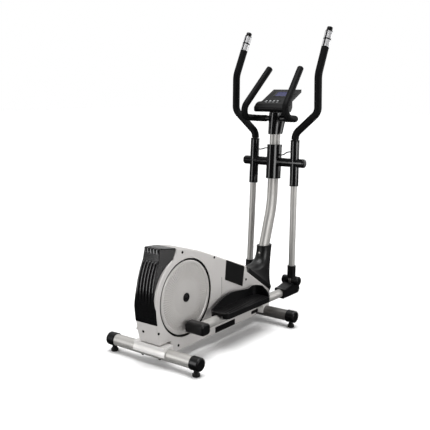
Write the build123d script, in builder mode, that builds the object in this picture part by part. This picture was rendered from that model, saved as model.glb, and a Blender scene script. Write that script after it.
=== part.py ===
import math
import os

from build123d import *

os.makedirs("parts", exist_ok=True)

# Lengths are in millimetres. Places along the machine are measured forward from the
# rear stabiliser's axis, heights from the floor and sideways places from the middle.
# The part's own origin lies on the floor, midway between its rearmost and foremost points.
rear_x = -580.506

# Fits
slip = 0.2
running = 0.05
press = 0.02
seat_gap = 0.3
seam = 0.4

# Stabilisers and their saddles
front_x = 843.0
stabiliser_z = 62.0
stabiliser_radius = 30.0
stabiliser_wall = 2.0
stabiliser_half = 291.0
cap_radius = 33.5
cap_length = 51.0
cap_end = 4.5
cap_round = 9.0
saddle_half = 100.0
saddle_radius = 38.0
saddle_bottom = 58.0
saddle_pad = 30.0
saddle_bolt_y = 55.0
saddle_bolt_slope = 55.0
saddle_bolt_radius = 4.0
saddle_bolt_depth = 38.0
bolt_head_radius = 6.5
bolt_head_height = 4.5

# Levelling feet
foot_inset = 26.0
foot_radius = 18.5
foot_height = 17.0
foot_neck = 12.0
foot_stem_radius = 5.0
foot_stem_top = 58.0
foot_edge = 1.5
foot_shoulder = 4.0

# Main frame
beam_bottom = 104.0
beam_height = 40.0
beam_half = 30.0
beam_wall = 2.5
beam_room = 1.0
beam_rear = -18.0
beam_front = 905.0
post_half = 20.0

# Crank, drive pulley and belt
crank_x = 172.0
crank_z = 300.0
crank_radius = 142.0
axle_radius = 10.0
bearing_radius = 21.0
bearing_width = 12.0
bearing_shell_radius = 28.0
pulley_radius = 120.0
pulley_web = 5.0
pulley_hub_radius = 22.0
pulley_gap = 1.0
pulley_rim = 9.0
belt_y = 31.0
belt_width = 14.0
belt_thickness = 2.5
crank_arm_room = 22.0
crank_arm_thick = 12.0
crank_arm_half = 18.0
crank_hub_radius = 24.0
crank_pin_radius = 9.0
crank_pin_proud = 14.0
disc_radius = 190.0
disc_gap = 7.0
disc_thick = 4.0
disc_sunk = 2.0
disc_edge = 1.0
disc_bevel = 3.0
disc_boss_radius = 34.0
hub_cap_radius = 23.0
hub_cap_height = 5.0

# Flywheel, brake and motor
flywheel_x = 460.0
flywheel_z = 265.0
flywheel_radius = 105.0
flywheel_rim = 20.0
flywheel_inner_y = -22.0
flywheel_outer_y = 10.0
flywheel_web = 9.0
flywheel_pulley_radius = 18.0
flywheel_axle_radius = 8.0
fork_thick = 6.0
fork_half = 20.0
fork_gap = 4.0
brake_gap = 4.0
brake_thick = 9.0
brake_start_angle = -8.0
brake_sweep_angle = 70.0
brake_pivot_x = 596.0
brake_pivot_z = 190.0
brake_pin_radius = 5.0
brake_lug_radius = 11.0
brake_half = 12.0
brake_neck = 10.0
brake_root = 0.12
motor_x = 668.0
motor_length = 52.0
motor_width = 44.0
motor_height = 38.0
motor_round = 5.0

# Housing, drawn from the side
housing_half = 68.0
shell_wall = 3.0
shell_round = 7.0
floor_z = 42.0
step_z = 108.0
step_room = 13.0
nose_x = 958.0
nose_z = 141.0
nose_round = 45.0
boot_line_front = (950.0, 147.0)
boot_line_rear = (698.0, 317.0)
boot_notch = (690.0, 351.0)
top_front = (310.0, 503.0)
top_rear = (103.0, 560.0)
rear_top = (0.0, 573.0)
rear_waist = (-9.0, 513.0)
rear_upper_middle = (-44.0, 430.0)
rear_foot_x = -25.0
border_width = 32.0
border_top_angle = 115.0
border_low_angle = 182.0
rear_cover_wall = 4.0
rear_cover_bottom = 214.0
rear_cover_inset = 10.0
facet_front_inset = 4.0
facet_rear_inset = 22.0
facet_low_inset = 6.0
panel_wall = 3.0
screw_radius = 2.2
screw_head_radius = 5.0
screw_head_height = 2.6
screw_head_rim = 1.0
boss_radius = 6.0
screw_places = ((143.0, 533.0), (397.0, 458.0), (-36.0, 172.0), (107.0, 72.0), (684.0, 277.0))

# Mast, pivot and their covers
mast_base = (949.0, 357.0)
mast_bend = (1044.0, 640.0)
mast_top = (1075.0, 1165.0)
mast_bend_radius = 600.0
mast_long = 38.0
mast_short = 26.0
mast_wall = 2.5
stub_wall = 4.0
stub_insert = 60.0
boot_top_z = 412.0
boot_margin = 10.5
boot_inset = 6.0
boot_round = 36.0
boot_band = 26.0
boot_band_round = 18.0
boot_crease = 2.0
boot_top_flat = 2.0
boot_waist = (912.0, 268.0)
boot_waist_long = 164.0
boot_waist_half = 47.0
boot_waist_lean = 0.69
boot_wall = 3.5
pivot_x = 1060.0
pivot_z = 890.0
shaft_radius = 12.0
shaft_half = 192.0
shaft_cover_radius = 24.5
shaft_cover_gap = 1.0
clamp_bottom = 794.0
clamp_top = 989.0
clamp_long = 52.0
clamp_short = 38.0
clamp_wall = 4.0
cover_bottom = 1050.0
cover_top = 1172.0
cover_long = 50.0
cover_short = 37.0
cover_top_long = 66.0
cover_top_short = 46.0
cover_top_shift = 22.0

# Fixed handlebar
bar_z = 1138.0
bar_radius = 16.0
bar_wall = 2.0
bar_half = 143.0
bar_rear_x = 895.0
bar_rear_z = 1152.0
bar_tip = (1160.0, 104.0, 1420.0)
bar_side_bend = 40.0
bar_rear_bend = 48.0
grip_radius = 19.0
grip_inner_y = 62.0
grip_cap = 5.0

# Console
face_low = (1040.0, 1222.0)
face_high = (1195.0, 1302.0)
console_lip = (1014.0, 1196.0)
console_heel = (1034.0, 1166.0)
console_thick = 14.0
console_lip_depth = 26.0
console_lip_long = 50.0
console_half_low = 118.0
console_half_high = 95.0
console_wall = 3.0
console_edge = 8.0
console_lip_round = 12.0
console_far_edge = 4.0
console_corner = 10.0
console_neck_gap = 4.0
lens_width = 84.0
lens_height = 50.0
lens_thick = 1.6
lens_s = 117.0
button_s = 34.0
button_y = (62.0, 37.0, 12.0, -13.0)
button_long = 12.0
button_wide = 6.0
button_proud = 1.8
button_depth = 7.0
oval_s = 122.0
oval_y = -62.0
oval_long = 24.0
oval_wide = 13.0

# Swing arms
arm_y = 138.0
swing_reach = 687.0
right_swing_tilt = -0.83
swing_tube_radius = 18.0
swing_tube_wall = 2.0
swing_tube_top = -30.0
sleeve_radius = 25.0
sleeve_bottom = -130.0
sleeve_top = 129.0
sleeve_round = 4.0
hub_radius = 25.0
hub_inner = 109.0
hub_outer = 205.0
hub_round = 8.0
handle_radius = 16.0
handle_wall = 2.0
handle_seat = 30.0
handle_bend_low = (0.0, 165.0)
handle_bend_mid = (-6.0, 288.0)
handle_bend_top = (-16.0, 492.0)
handle_tip = (100.0, 752.0)
handle_out = 143.0
handle_low_round = 55.0
handle_mid_round = 60.0
handle_top_round = 110.0
foam_radius = 21.0
foam_foot = 133.0
tip_length = 22.0
plate_thick = 0.8
plate_length = 42.0
plate_space = 8.0
plate_split = 9.0

# Joint between swing arm and pedal arm
tee_radius = 26.0
tee_half = 54.0
tee_round = 6.0
tee_pin_radius = 8.0
tee_slot_half = 12.0
tee_slot_top = 18.0
socket_radius = 24.5
socket_top = 86.0
lug_half = 11.0
lug_radius = 16.0

# Pedal arms
pedal_tube_radius = 24.0
pedal_tube_wall = 2.0
pedal_tube_drop = 51.0
pedal_tube_front = -12.0
joint_cover_rear = -132.0
joint_cover_front = 48.0
joint_cover_half = 32.0
joint_cover_bottom = -78.0
joint_cover_toe = 18.0
joint_cover_cheek = -8.0
joint_cover_wall = 9.0
joint_cover_ramp = 24.0
joint_cover_skin = 4.0
joint_cover_room = 1.0
joint_cover_round = 4.0
crank_cover_inner = 86.0
crank_cover_outer = 192.0
crank_cover_long = 66.0
crank_cover_high = 58.0
crank_cover_round = 19.0
crank_cover_overlap = 20.0
pedal_rear = -728.0
pedal_front = -305.0
pedal_inner = 87.0
pedal_outer = 202.0
pedal_round = 38.0
pedal_floor = 9.0
pedal_wall = 6.0
pedal_skirt = 14.0
pedal_skirt_inset = 26.0
pedal_lip = 13.0
pedal_toe_wall = 72.0
pedal_front_wall = 60.0
# Height of the pedal's inner wall above its base, at places from the heel and back from the toe
pedal_heel_line = ((12.0, 14.0), (62.0, 31.0), (95.0, 45.0), (133.0, 58.0), (178.0, 65.0), (222.0, 66.0))
pedal_toe_line = ((149.0, 60.0), (95.0, 53.0), (65.0, 51.0), (35.0, 58.0), (10.0, 61.0))
pedal_shoulder = (47.0, 64.0)
pedal_slope = (20.0, 41.0)

# Pulse cables, from the swing arm's sleeve to the pivot cover
cable_radius = 3.25
cable_bend_share = 0.45
gland_radius = 5.5
left_cable = ((110.5, 957.0), (96.0, 957.0), (79.0, 960.0), (61.0, 967.5), (43.5, 967.5))
right_cable = ((110.5, 952.0), (97.0, 952.0), (80.0, 945.0), (62.0, 931.0), (43.5, 931.0))

side = Plane(origin=(rear_x, 0, 0), x_dir=(1, 0, 0), z_dir=(0, -1, 0))
foot_y = stabiliser_half - foot_inset
beam_top = beam_bottom + beam_height
disc_hole_radius = disc_radius + disc_gap
rear_step_x = saddle_radius + step_room
front_step_x = front_x - saddle_radius - step_room
border_radius = disc_hole_radius + border_width
crank_arm_inner = housing_half - crank_arm_room
crank_arm_outer = crank_arm_inner + crank_arm_thick
crank_pin_end = housing_half + crank_pin_proud
rear_cover_half = housing_half - rear_cover_inset
facet_top_front = housing_half - facet_front_inset
facet_top_rear = housing_half - facet_rear_inset
facet_low = housing_half - facet_low_inset
boot_half = housing_half - boot_inset
disc_back = housing_half - disc_sunk - disc_thick
pivot_axis = Axis((rear_x + pivot_x, 0, pivot_z), (0, 1, 0))


def turning_plane(x, z, sign=1):
    """Plane for a turned profile about a cross axis: along the axis outwards, then radius."""
    return Plane(origin=(rear_x + x, 0, z), x_dir=(0, sign, 0), z_dir=(sign, 0, 0))


def cross_axis(x, z):
    return Axis((rear_x + x, 0, z), (0, 1, 0))


def cross_bore(x, z, radius, y_from, y_to):
    """Cut a round hole along the cross direction out of the part being built."""
    with Locations(Location((rear_x + x, (y_from + y_to) / 2, z), (90, 0, 0))):
        Cylinder(radius, abs(y_to - y_from), mode=Mode.SUBTRACT)


def ring_points(along_from, along_to, inner, outer):
    return ((along_from, inner), (along_to, inner), (along_to, outer), (along_from, outer))


def saddle_bolt_line(place, outward, sign):
    """Axis of a saddle bolt: from the tube's middle out through its lower outer side."""
    angle = math.radians(saddle_bolt_slope)
    return Axis((rear_x + place, sign * saddle_bolt_y, stabiliser_z),
                (outward * math.cos(angle), 0, -math.sin(angle)))


def saddle_bolt_bore(line):
    """Cut the hole of a saddle bolt out of the part being built."""
    with Locations(Plane(origin=line.position, x_dir=(0, 1, 0), z_dir=line.direction)):
        Cylinder(saddle_bolt_radius + slip, 2 * (saddle_bolt_depth + slip), mode=Mode.SUBTRACT)


boxes = []


def save(builder, name):
    builder.part.label = name
    boxes.append(builder.part.bounding_box())
    export_step(builder.part, f"parts/{name}.step")


# Linkage: where the swing arms and pedal arms stand with the right crank straight down
def swing_end(tilt):
    angle = math.radians(tilt)
    return pivot_x + swing_reach * math.sin(angle), pivot_z - swing_reach * math.cos(angle)


right_joint = swing_end(right_swing_tilt)
right_pin = (crank_x, crank_z - crank_radius)
left_pin = (crank_x, crank_z + crank_radius)
arm_reach = math.dist(right_joint, right_pin)
pin_to_pivot = math.dist(left_pin, (pivot_x, pivot_z))
left_opening = math.acos(
    (swing_reach**2 + pin_to_pivot**2 - arm_reach**2) / (2 * swing_reach * pin_to_pivot)
)
left_lean = math.atan2(pivot_x - left_pin[0], pivot_z - left_pin[1])
left_swing_tilt = math.degrees(left_opening - left_lean)
left_joint = swing_end(left_swing_tilt)
pin_back = math.sqrt(arm_reach**2 - pedal_tube_drop**2)
own_slope = math.atan2(pedal_tube_drop, pin_back)


def arm_slope(joint, pin):
    return math.degrees(math.atan2(joint[1] - pin[1], joint[0] - pin[0]) - own_slope)


class Side:
    """One side of the machine: its sign along the cross axis and how its arms stand."""

    def __init__(self, name, sign, tilt, joint, pin):
        self.name = name
        self.sign = sign
        self.tilt = tilt
        self.joint = joint
        self.slope = arm_slope(joint, pin)

    def plane(self, place, degrees, out=0.0):
        angle = math.radians(degrees)
        origin = (rear_x + place[0], self.sign * (arm_y + out), place[1])
        return Plane(origin=origin, x_dir=(math.cos(angle), 0, math.sin(angle)), z_dir=(0, -1, 0))

    def swing_plane(self, out=0.0):
        return self.plane((pivot_x, pivot_z), self.tilt, out)

    def pedal_plane(self, out=0.0):
        return self.plane(self.joint, self.slope, out)

    def swing_point(self, forward, up, out=0.0):
        return self.swing_plane(out).from_local_coords(Vector(forward, up, 0))

    def pedal_point(self, forward, up, out=0.0):
        return self.pedal_plane(out).from_local_coords(Vector(forward, up, 0))

    def swing_up(self):
        return self.swing_plane().y_dir

    def pedal_forward(self):
        return self.pedal_plane().x_dir


sides = (
    Side("right", -1, right_swing_tilt, right_joint, right_pin),
    Side("left", 1, left_swing_tilt, left_joint, left_pin),
)
print("swing tilts", right_swing_tilt, round(left_swing_tilt, 3))
print("joints", right_joint, left_joint, "slopes", [round(s.slope, 3) for s in sides])

# Stabiliser tubes
for name, place, outward in (("rear_stabiliser", 0.0, -1), ("front_stabiliser", front_x, 1)):
    with BuildPart() as stabiliser:
        with BuildSketch(side):
            with Locations((place, stabiliser_z)):
                Circle(stabiliser_radius)
                Circle(stabiliser_radius - stabiliser_wall, mode=Mode.SUBTRACT)
        extrude(amount=stabiliser_half, both=True)
        for sign in (-1, 1):
            saddle_bolt_bore(saddle_bolt_line(place, outward, sign))
            with Locations((rear_x + place, sign * foot_y, stabiliser_z - stabiliser_radius)):
                Cylinder(foot_stem_radius + seat_gap, 2 * cap_round, mode=Mode.SUBTRACT)
    save(stabiliser, name)

# Moulded caps on the four tube ends
with BuildPart() as stabiliser_end_caps:
    cap_start = stabiliser_half + slip + cap_end - cap_length
    cap_stop = cap_start + cap_length
    bore = stabiliser_radius + slip
    for place in (0.0, front_x):
        for sign in (-1, 1):
            with BuildSketch(turning_plane(place, stabiliser_z, sign)):
                with BuildLine():
                    Polyline(
                        (cap_stop - cap_round, cap_radius),
                        (cap_start, cap_radius),
                        (cap_start, bore),
                        (cap_stop - cap_end, bore),
                        (cap_stop - cap_end, 0),
                        (cap_stop, 0),
                        (cap_stop, cap_radius - cap_round),
                    )
                    RadiusArc((cap_stop, cap_radius - cap_round),
                              (cap_stop - cap_round, cap_radius), -cap_round)
                make_face()
            revolve(axis=cross_axis(place, stabiliser_z))
            with Locations((rear_x + place, sign * foot_y, stabiliser_z - stabiliser_radius)):
                Cylinder(foot_stem_radius + seat_gap, 2 * cap_round, mode=Mode.SUBTRACT)
save(stabiliser_end_caps, "stabiliser_end_caps")

# Saddles that seat the frame on the stabiliser tubes
with BuildPart() as stabiliser_saddles:
    with BuildSketch(side):
        skirt = stabiliser_z - saddle_bottom
        pad = beam_bottom - stabiliser_z
        bore = stabiliser_radius + slip
        for place in (0.0, front_x):
            with Locations((place, stabiliser_z)):
                Circle(saddle_radius)
            with Locations((place, stabiliser_z - skirt / 2)):
                Rectangle(2 * saddle_radius, skirt)
            with Locations((place, stabiliser_z + pad / 2)):
                Rectangle(2 * saddle_pad, pad)
        for place in (0.0, front_x):
            with Locations((place, stabiliser_z)):
                Circle(bore, mode=Mode.SUBTRACT)
            with Locations((place, stabiliser_z - saddle_radius)):
                Rectangle(2 * bore, 2 * saddle_radius, mode=Mode.SUBTRACT)
            with Locations((place, saddle_bottom - saddle_radius)):
                Rectangle(3 * saddle_radius, 2 * saddle_radius, mode=Mode.SUBTRACT)
    extrude(amount=saddle_half, both=True)
    for place, outward in ((0.0, -1), (front_x, 1)):
        for sign in (-1, 1):
            saddle_bolt_bore(saddle_bolt_line(place, outward, sign))
save(stabiliser_saddles, "stabiliser_saddles")

# Dome-headed bolts, up through the tube from its lower outer side and into the saddle
with BuildPart() as saddle_bolts:
    head = stabiliser_radius + seat_gap
    for place, outward in ((0.0, -1), (front_x, 1)):
        for sign in (-1, 1):
            line = saddle_bolt_line(place, outward, sign)
            with BuildSketch(Plane(origin=line.position, x_dir=line.direction, z_dir=(0, 1, 0))):
                with BuildLine():
                    Polyline(
                        (-saddle_bolt_depth, 0),
                        (-saddle_bolt_depth, saddle_bolt_radius),
                        (head, saddle_bolt_radius),
                        (head, bolt_head_radius),
                        (head + bolt_head_height / 3, bolt_head_radius),
                        (head + bolt_head_height, bolt_head_radius / 2),
                        (head + bolt_head_height, 0),
                        close=True,
                    )
                make_face()
            revolve(axis=line)
save(saddle_bolts, "saddle_bolts")

# Levelling feet: rubber pad, neck and threaded stem
for end_name, place in (("rear", 0.0), ("front", front_x)):
    for side_name, sign in (("right", -1), ("left", 1)):
        with BuildPart() as foot:
            origin = (rear_x + place, sign * foot_y, 0)
            collar = stabiliser_z - cap_radius - seat_gap
            with BuildSketch(Plane(origin=origin, x_dir=(1, 0, 0), z_dir=(0, -1, 0))):
                with BuildLine():
                    Polyline(
                        (0, 0),
                        (foot_radius - foot_edge, 0),
                        (foot_radius, foot_edge),
                        (foot_radius, foot_height - foot_shoulder),
                        (foot_radius - foot_shoulder, foot_height),
                        (foot_neck, foot_height),
                        (foot_neck, collar),
                        (foot_stem_radius, collar),
                        (foot_stem_radius, foot_stem_top),
                        (0, foot_stem_top),
                        close=True,
                    )
                make_face()
            revolve(axis=Axis(origin, (0, 0, 1)))
        save(foot, f"{end_name}_{side_name}_foot")

# Welded main frame: beam, crank post, flywheel fork, brake post and mast stub
mast_low_dir = (Vector(*mast_bend) - Vector(*mast_base)).normalized()
mast_up_dir = (Vector(*mast_top) - Vector(*mast_bend)).normalized()


def mast_x(z):
    """Forward place of the mast's axis at a height, on its upper straight."""
    return mast_bend[0] + (z - mast_bend[1]) * mast_up_dir.X / mast_up_dir.Y


def mast_plane(x, z, direction):
    """Plane square to a direction in the side view, its x axis towards the front."""
    z_dir = (direction.X, 0, direction.Y)
    x_dir = (direction.Y, 0, -direction.X)
    return Plane(origin=(rear_x + x, 0, z), x_dir=x_dir, z_dir=z_dir)


stub_long = mast_long - mast_wall - slip
stub_short = mast_short - mast_wall - slip
stub_drop = (mast_base[1] - beam_top + beam_wall) / mast_low_dir.Y
stub_foot = Vector(*mast_base) - mast_low_dir * stub_drop
fork_inner = flywheel_inner_y - fork_gap
fork_outer = belt_y + belt_width / 2 + fork_gap
fork_top = flywheel_z + fork_half

with BuildPart() as main_frame:
    beam_mid = rear_x + (beam_rear + beam_front) / 2
    with Locations((beam_mid, 0, beam_bottom + beam_height / 2)):
        Box(beam_front - beam_rear, 2 * beam_half, beam_height)
    post_height = crank_z - beam_top
    with Locations((rear_x + crank_x, 0, beam_top + post_height / 2)):
        Box(2 * post_half, 2 * post_half, post_height)
    with Locations(Location((rear_x + crank_x, 0, crank_z), (90, 0, 0))):
        Cylinder(bearing_shell_radius, 2 * post_half)
    base_from = fork_inner - fork_thick
    base_to = fork_outer + fork_thick
    with Locations((rear_x + flywheel_x, (base_from + base_to) / 2, beam_top + fork_thick / 2)):
        Box(2 * fork_half, base_to - base_from, fork_thick)
    for cheek in (fork_inner - fork_thick / 2, fork_outer + fork_thick / 2):
        with Locations((rear_x + flywheel_x, cheek, (beam_top + fork_top) / 2)):
            Box(2 * fork_half, fork_thick, fork_top - beam_top)
    brake_post_top = brake_pivot_z + brake_lug_radius
    brake_mid = (flywheel_inner_y + flywheel_outer_y) / 2
    for sign in (-1, 1):
        cheek = brake_mid + sign * (brake_half + seat_gap + fork_thick / 2)
        with Locations((rear_x + brake_pivot_x, cheek, (beam_top + brake_post_top) / 2)):
            Box(2 * brake_lug_radius, fork_thick, brake_post_top - beam_top)
    with BuildSketch(mast_plane(stub_foot.X, stub_foot.Y, mast_low_dir)):
        Ellipse(stub_long, stub_short)
        Ellipse(stub_long - stub_wall, stub_short - stub_wall, mode=Mode.SUBTRACT)
    extrude(amount=stub_drop + stub_insert)
    cavity = beam_front - beam_rear - 2 * beam_wall
    with Locations((beam_mid, 0, beam_bottom + beam_height / 2)):
        Box(cavity, 2 * (beam_half - beam_wall), beam_height - 2 * beam_wall, mode=Mode.SUBTRACT)
    cross_bore(crank_x, crank_z, bearing_radius + press, -post_half, post_half)
    cross_bore(flywheel_x, flywheel_z, flywheel_axle_radius + press, base_from, base_to)
    brake_side = brake_half + seat_gap + fork_thick
    cross_bore(brake_pivot_x, brake_pivot_z, brake_pin_radius + running,
               brake_mid - brake_side, brake_mid + brake_side)
save(main_frame, "main_frame")

# Crank bearings pressed in the frame's cross shell
with BuildPart() as crank_bearings:
    for sign in (-1, 1):
        with BuildSketch(turning_plane(crank_x, crank_z, sign)):
            with BuildLine():
                Polyline(*ring_points(post_half - bearing_width, post_half,
                                      axle_radius + running, bearing_radius), close=True)
            make_face()
        revolve(axis=cross_axis(crank_x, crank_z))
save(crank_bearings, "crank_bearings")

# Crank axle
with BuildPart() as crank_axle:
    with BuildSketch(side):
        with Locations((crank_x, crank_z)):
            Circle(axle_radius)
    extrude(amount=crank_arm_outer, both=True)
save(crank_axle, "crank_axle")

# Drive pulley on the axle, on the left of the post
belt_inner = belt_y - belt_width / 2
belt_outer = belt_y + belt_width / 2
with BuildPart() as drive_pulley:
    bore = axle_radius + press
    rim = pulley_radius - pulley_rim
    with BuildSketch(turning_plane(crank_x, crank_z)):
        with BuildLine():
            Polyline(
                (post_half + pulley_gap, bore),
                (crank_arm_inner, bore),
                (crank_arm_inner, pulley_hub_radius),
                (belt_y + pulley_web / 2, pulley_hub_radius),
                (belt_y + pulley_web / 2, rim),
                (belt_outer, rim),
                (belt_outer, pulley_radius),
                (belt_inner, pulley_radius),
                (belt_inner, rim),
                (belt_y - pulley_web / 2, rim),
                (belt_y - pulley_web / 2, pulley_hub_radius),
                (post_half + pulley_gap, pulley_hub_radius),
                close=True,
            )
        make_face()
    revolve(axis=cross_axis(crank_x, crank_z))
save(drive_pulley, "drive_pulley")

# Belt round the drive pulley and the flywheel's own pulley
with BuildPart() as drive_belt:
    with BuildSketch(side.offset(-belt_inner)):
        with Locations((crank_x, crank_z)):
            Circle(pulley_radius + seat_gap + belt_thickness)
        with Locations((flywheel_x, flywheel_z)):
            Circle(flywheel_pulley_radius + seat_gap + belt_thickness)
        make_hull()
        with BuildSketch(mode=Mode.PRIVATE) as inside:
            with Locations((crank_x, crank_z)):
                Circle(pulley_radius + seat_gap)
            with Locations((flywheel_x, flywheel_z)):
                Circle(flywheel_pulley_radius + seat_gap)
            make_hull()
        add(inside.sketch_local, mode=Mode.SUBTRACT)
    extrude(amount=-belt_width)
save(drive_belt, "drive_belt")

# Crank arms behind the discs, each with the pin that its pedal arm runs on
with BuildPart() as crank_arms:
    for sign in (-1, 1):
        with BuildSketch(side.offset(-sign * crank_arm_inner)):
            with Locations((crank_x, crank_z)):
                Circle(crank_hub_radius)
            with Locations((crank_x, crank_z + sign * crank_radius)):
                Circle(crank_arm_half)
            with Locations((crank_x, crank_z + sign * crank_radius / 2)):
                Rectangle(2 * crank_arm_half, crank_radius)
            with Locations((crank_x, crank_z)):
                Circle(axle_radius + press, mode=Mode.SUBTRACT)
        extrude(amount=-sign * crank_arm_thick)
        with BuildSketch(side.offset(-sign * crank_arm_outer)):
            with Locations((crank_x, crank_z + sign * crank_radius)):
                Circle(crank_pin_radius)
        extrude(amount=-sign * (crank_pin_end - crank_arm_outer))
save(crank_arms, "crank_arms")

# Round crank discs that fill the holes in the side shells
with BuildPart() as crank_discs:
    for sign in (-1, 1):
        with BuildSketch(turning_plane(crank_x, crank_z, sign)):
            with BuildLine():
                Polyline(
                    (crank_arm_outer, 0),
                    (crank_arm_outer, disc_boss_radius),
                    (disc_back, disc_boss_radius),
                    (disc_back, disc_radius),
                    (disc_back + disc_thick - disc_edge, disc_radius),
                    (disc_back + disc_thick, disc_radius - disc_bevel),
                    (disc_back + disc_thick, 0),
                    close=True,
                )
            make_face()
        revolve(axis=cross_axis(crank_x, crank_z))
        cross_bore(crank_x, crank_z + sign * crank_radius, crank_pin_radius + seat_gap,
                   sign * disc_back, sign * crank_pin_end)
save(crank_discs, "crank_discs")

# Hub caps in the middle of the discs
with BuildPart() as hub_caps:
    for sign in (-1, 1):
        start = disc_back + disc_thick
        with BuildSketch(turning_plane(crank_x, crank_z, sign)):
            with BuildLine():
                Polyline(
                    (start, 0),
                    (start, hub_cap_radius),
                    (start + hub_cap_height / 3, hub_cap_radius),
                    (start + hub_cap_height, hub_cap_radius - hub_cap_height),
                    (start + hub_cap_height, 0),
                    close=True,
                )
            make_face()
        revolve(axis=cross_axis(crank_x, crank_z))
save(hub_caps, "hub_caps")

# Flywheel with its pulley, turning on a fixed axle
with BuildPart() as flywheel_axle:
    with BuildSketch(side.offset(-base_from)):
        with Locations((flywheel_x, flywheel_z)):
            Circle(flywheel_axle_radius)
    extrude(amount=-(base_to - base_from))
save(flywheel_axle, "flywheel_axle")

with BuildPart() as flywheel:
    bore = flywheel_axle_radius + running
    rim = flywheel_radius - flywheel_rim
    web = (flywheel_inner_y + flywheel_outer_y) / 2
    with BuildSketch(turning_plane(flywheel_x, flywheel_z)):
        with BuildLine():
            Polyline(
                (fork_inner + seat_gap, bore),
                (fork_outer - seat_gap, bore),
                (fork_outer - seat_gap, flywheel_pulley_radius),
                (web + flywheel_web / 2, flywheel_pulley_radius),
                (web + flywheel_web / 2, rim),
                (flywheel_outer_y, rim),
                (flywheel_outer_y, flywheel_radius),
                (flywheel_inner_y, flywheel_radius),
                (flywheel_inner_y, rim),
                (web - flywheel_web / 2, rim),
                (web - flywheel_web / 2, flywheel_pulley_radius),
                (fork_inner + seat_gap, flywheel_pulley_radius),
                close=True,
            )
        make_face()
    revolve(axis=cross_axis(flywheel_x, flywheel_z))
save(flywheel, "flywheel")

# Magnetic brake shoe over the flywheel's rim, hinged on the brake post
with BuildPart() as brake_shoe:
    shoe_inner = flywheel_radius + brake_gap
    shoe_outer = shoe_inner + brake_thick
    with BuildSketch(side.offset(-(brake_mid - brake_half))):
        with BuildLine():
            outer_arc = CenterArc((flywheel_x, flywheel_z), shoe_outer, brake_start_angle, brake_sweep_angle)
            inner_arc = CenterArc((flywheel_x, flywheel_z), shoe_inner, brake_start_angle, brake_sweep_angle)
            Line(outer_arc @ 1, inner_arc @ 1)
            Line(outer_arc @ 0, inner_arc @ 0)
        make_face()
        with BuildLine():
            Polyline(
                inner_arc @ 0,
                (brake_pivot_x - brake_neck, brake_pivot_z),
                (brake_pivot_x + brake_neck, brake_pivot_z),
                outer_arc @ brake_root,
                outer_arc @ 0,
                close=True,
            )
        make_face()
        with Locations((brake_pivot_x, brake_pivot_z)):
            Circle(brake_lug_radius)
    extrude(amount=-2 * brake_half)
    pin_length = 2 * (brake_half + seat_gap + fork_thick)
    with Locations(Location((rear_x + brake_pivot_x, brake_mid, brake_pivot_z), (90, 0, 0))):
        Cylinder(brake_pin_radius, pin_length)
save(brake_shoe, "brake_shoe")

# Motor that sets the brake
with BuildPart() as servo_motor:
    with Locations((rear_x + motor_x, 0, beam_top + motor_height / 2)):
        Box(motor_length, motor_width, motor_height)
    fillet(servo_motor.edges().filter_by(Axis.Z), motor_round)
    with Locations((rear_x + motor_x, 0, beam_top + motor_height)):
        Cylinder(motor_width / 4, motor_height / 2, align=(Align.CENTER, Align.CENTER, Align.MIN))
save(servo_motor, "servo_motor")


# Housing outlines in the side view
def on_border(degrees):
    angle = math.radians(degrees)
    return crank_x + border_radius * math.cos(angle), crank_z + border_radius * math.sin(angle)


border_top = on_border(border_top_angle)
border_mid = on_border((border_top_angle + border_low_angle) / 2)
border_low = on_border(border_low_angle)
rear_foot = (rear_foot_x, step_z)
border_run = (crank_z - border_low[1], border_low[0] - crank_x)
panel_edge = (Vector(*border_top) + Vector(*top_rear)) * 0.5
top_run = (top_front[0] - boot_notch[0], top_front[1] - boot_notch[1])


def draw_rear_and_top():
    """Rear and top edges of the housing, from its rear foot to the front of the rear cover."""
    TangentArc(border_low, rear_foot, tangent=border_run)
    ThreePointArc(border_low, rear_upper_middle, rear_waist)
    Polyline(rear_waist, rear_top, top_rear)


def draw_front_and_floor():
    """The rest of the outline, forwards over the top, round the nose and back along the floor."""
    TangentArc(top_front, top_rear, tangent=top_run)
    Polyline(top_front, boot_notch, boot_line_rear, boot_line_front, (nose_x, nose_z), (nose_x, step_z),
             (front_step_x, step_z), (front_step_x, floor_z), (rear_step_x, floor_z),
             (rear_step_x, step_z), rear_foot)


def shell_outline():
    """Outline of a painted side shell, behind which the dark panel and the rear cover lie."""
    with BuildLine() as outline:
        TangentArc(border_low, rear_foot, tangent=border_run)
        ThreePointArc(border_low, border_mid, border_top)
        Line(border_top, top_rear)
        draw_front_and_floor()
    return outline.edges()


def housing_outline():
    with BuildLine() as outline:
        draw_rear_and_top()
        draw_front_and_floor()
    return outline.edges()


def facet_plane(sign, inset=0.0):
    """Slanting plane of the dark panel beside the rear cover, facing outwards."""
    front = Vector(top_rear[0] + rear_x, sign * facet_top_front, top_rear[1])
    rear = Vector(rear_top[0] + rear_x, sign * facet_top_rear, rear_top[1])
    low = Vector(border_low[0] + rear_x, sign * facet_low, border_low[1])
    normal = (front - rear).cross(low - rear).normalized()
    if normal.Y * sign < 0:
        normal = normal * -1
    return Plane(origin=rear - normal * inset, x_dir=front - rear, z_dir=normal)


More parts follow.
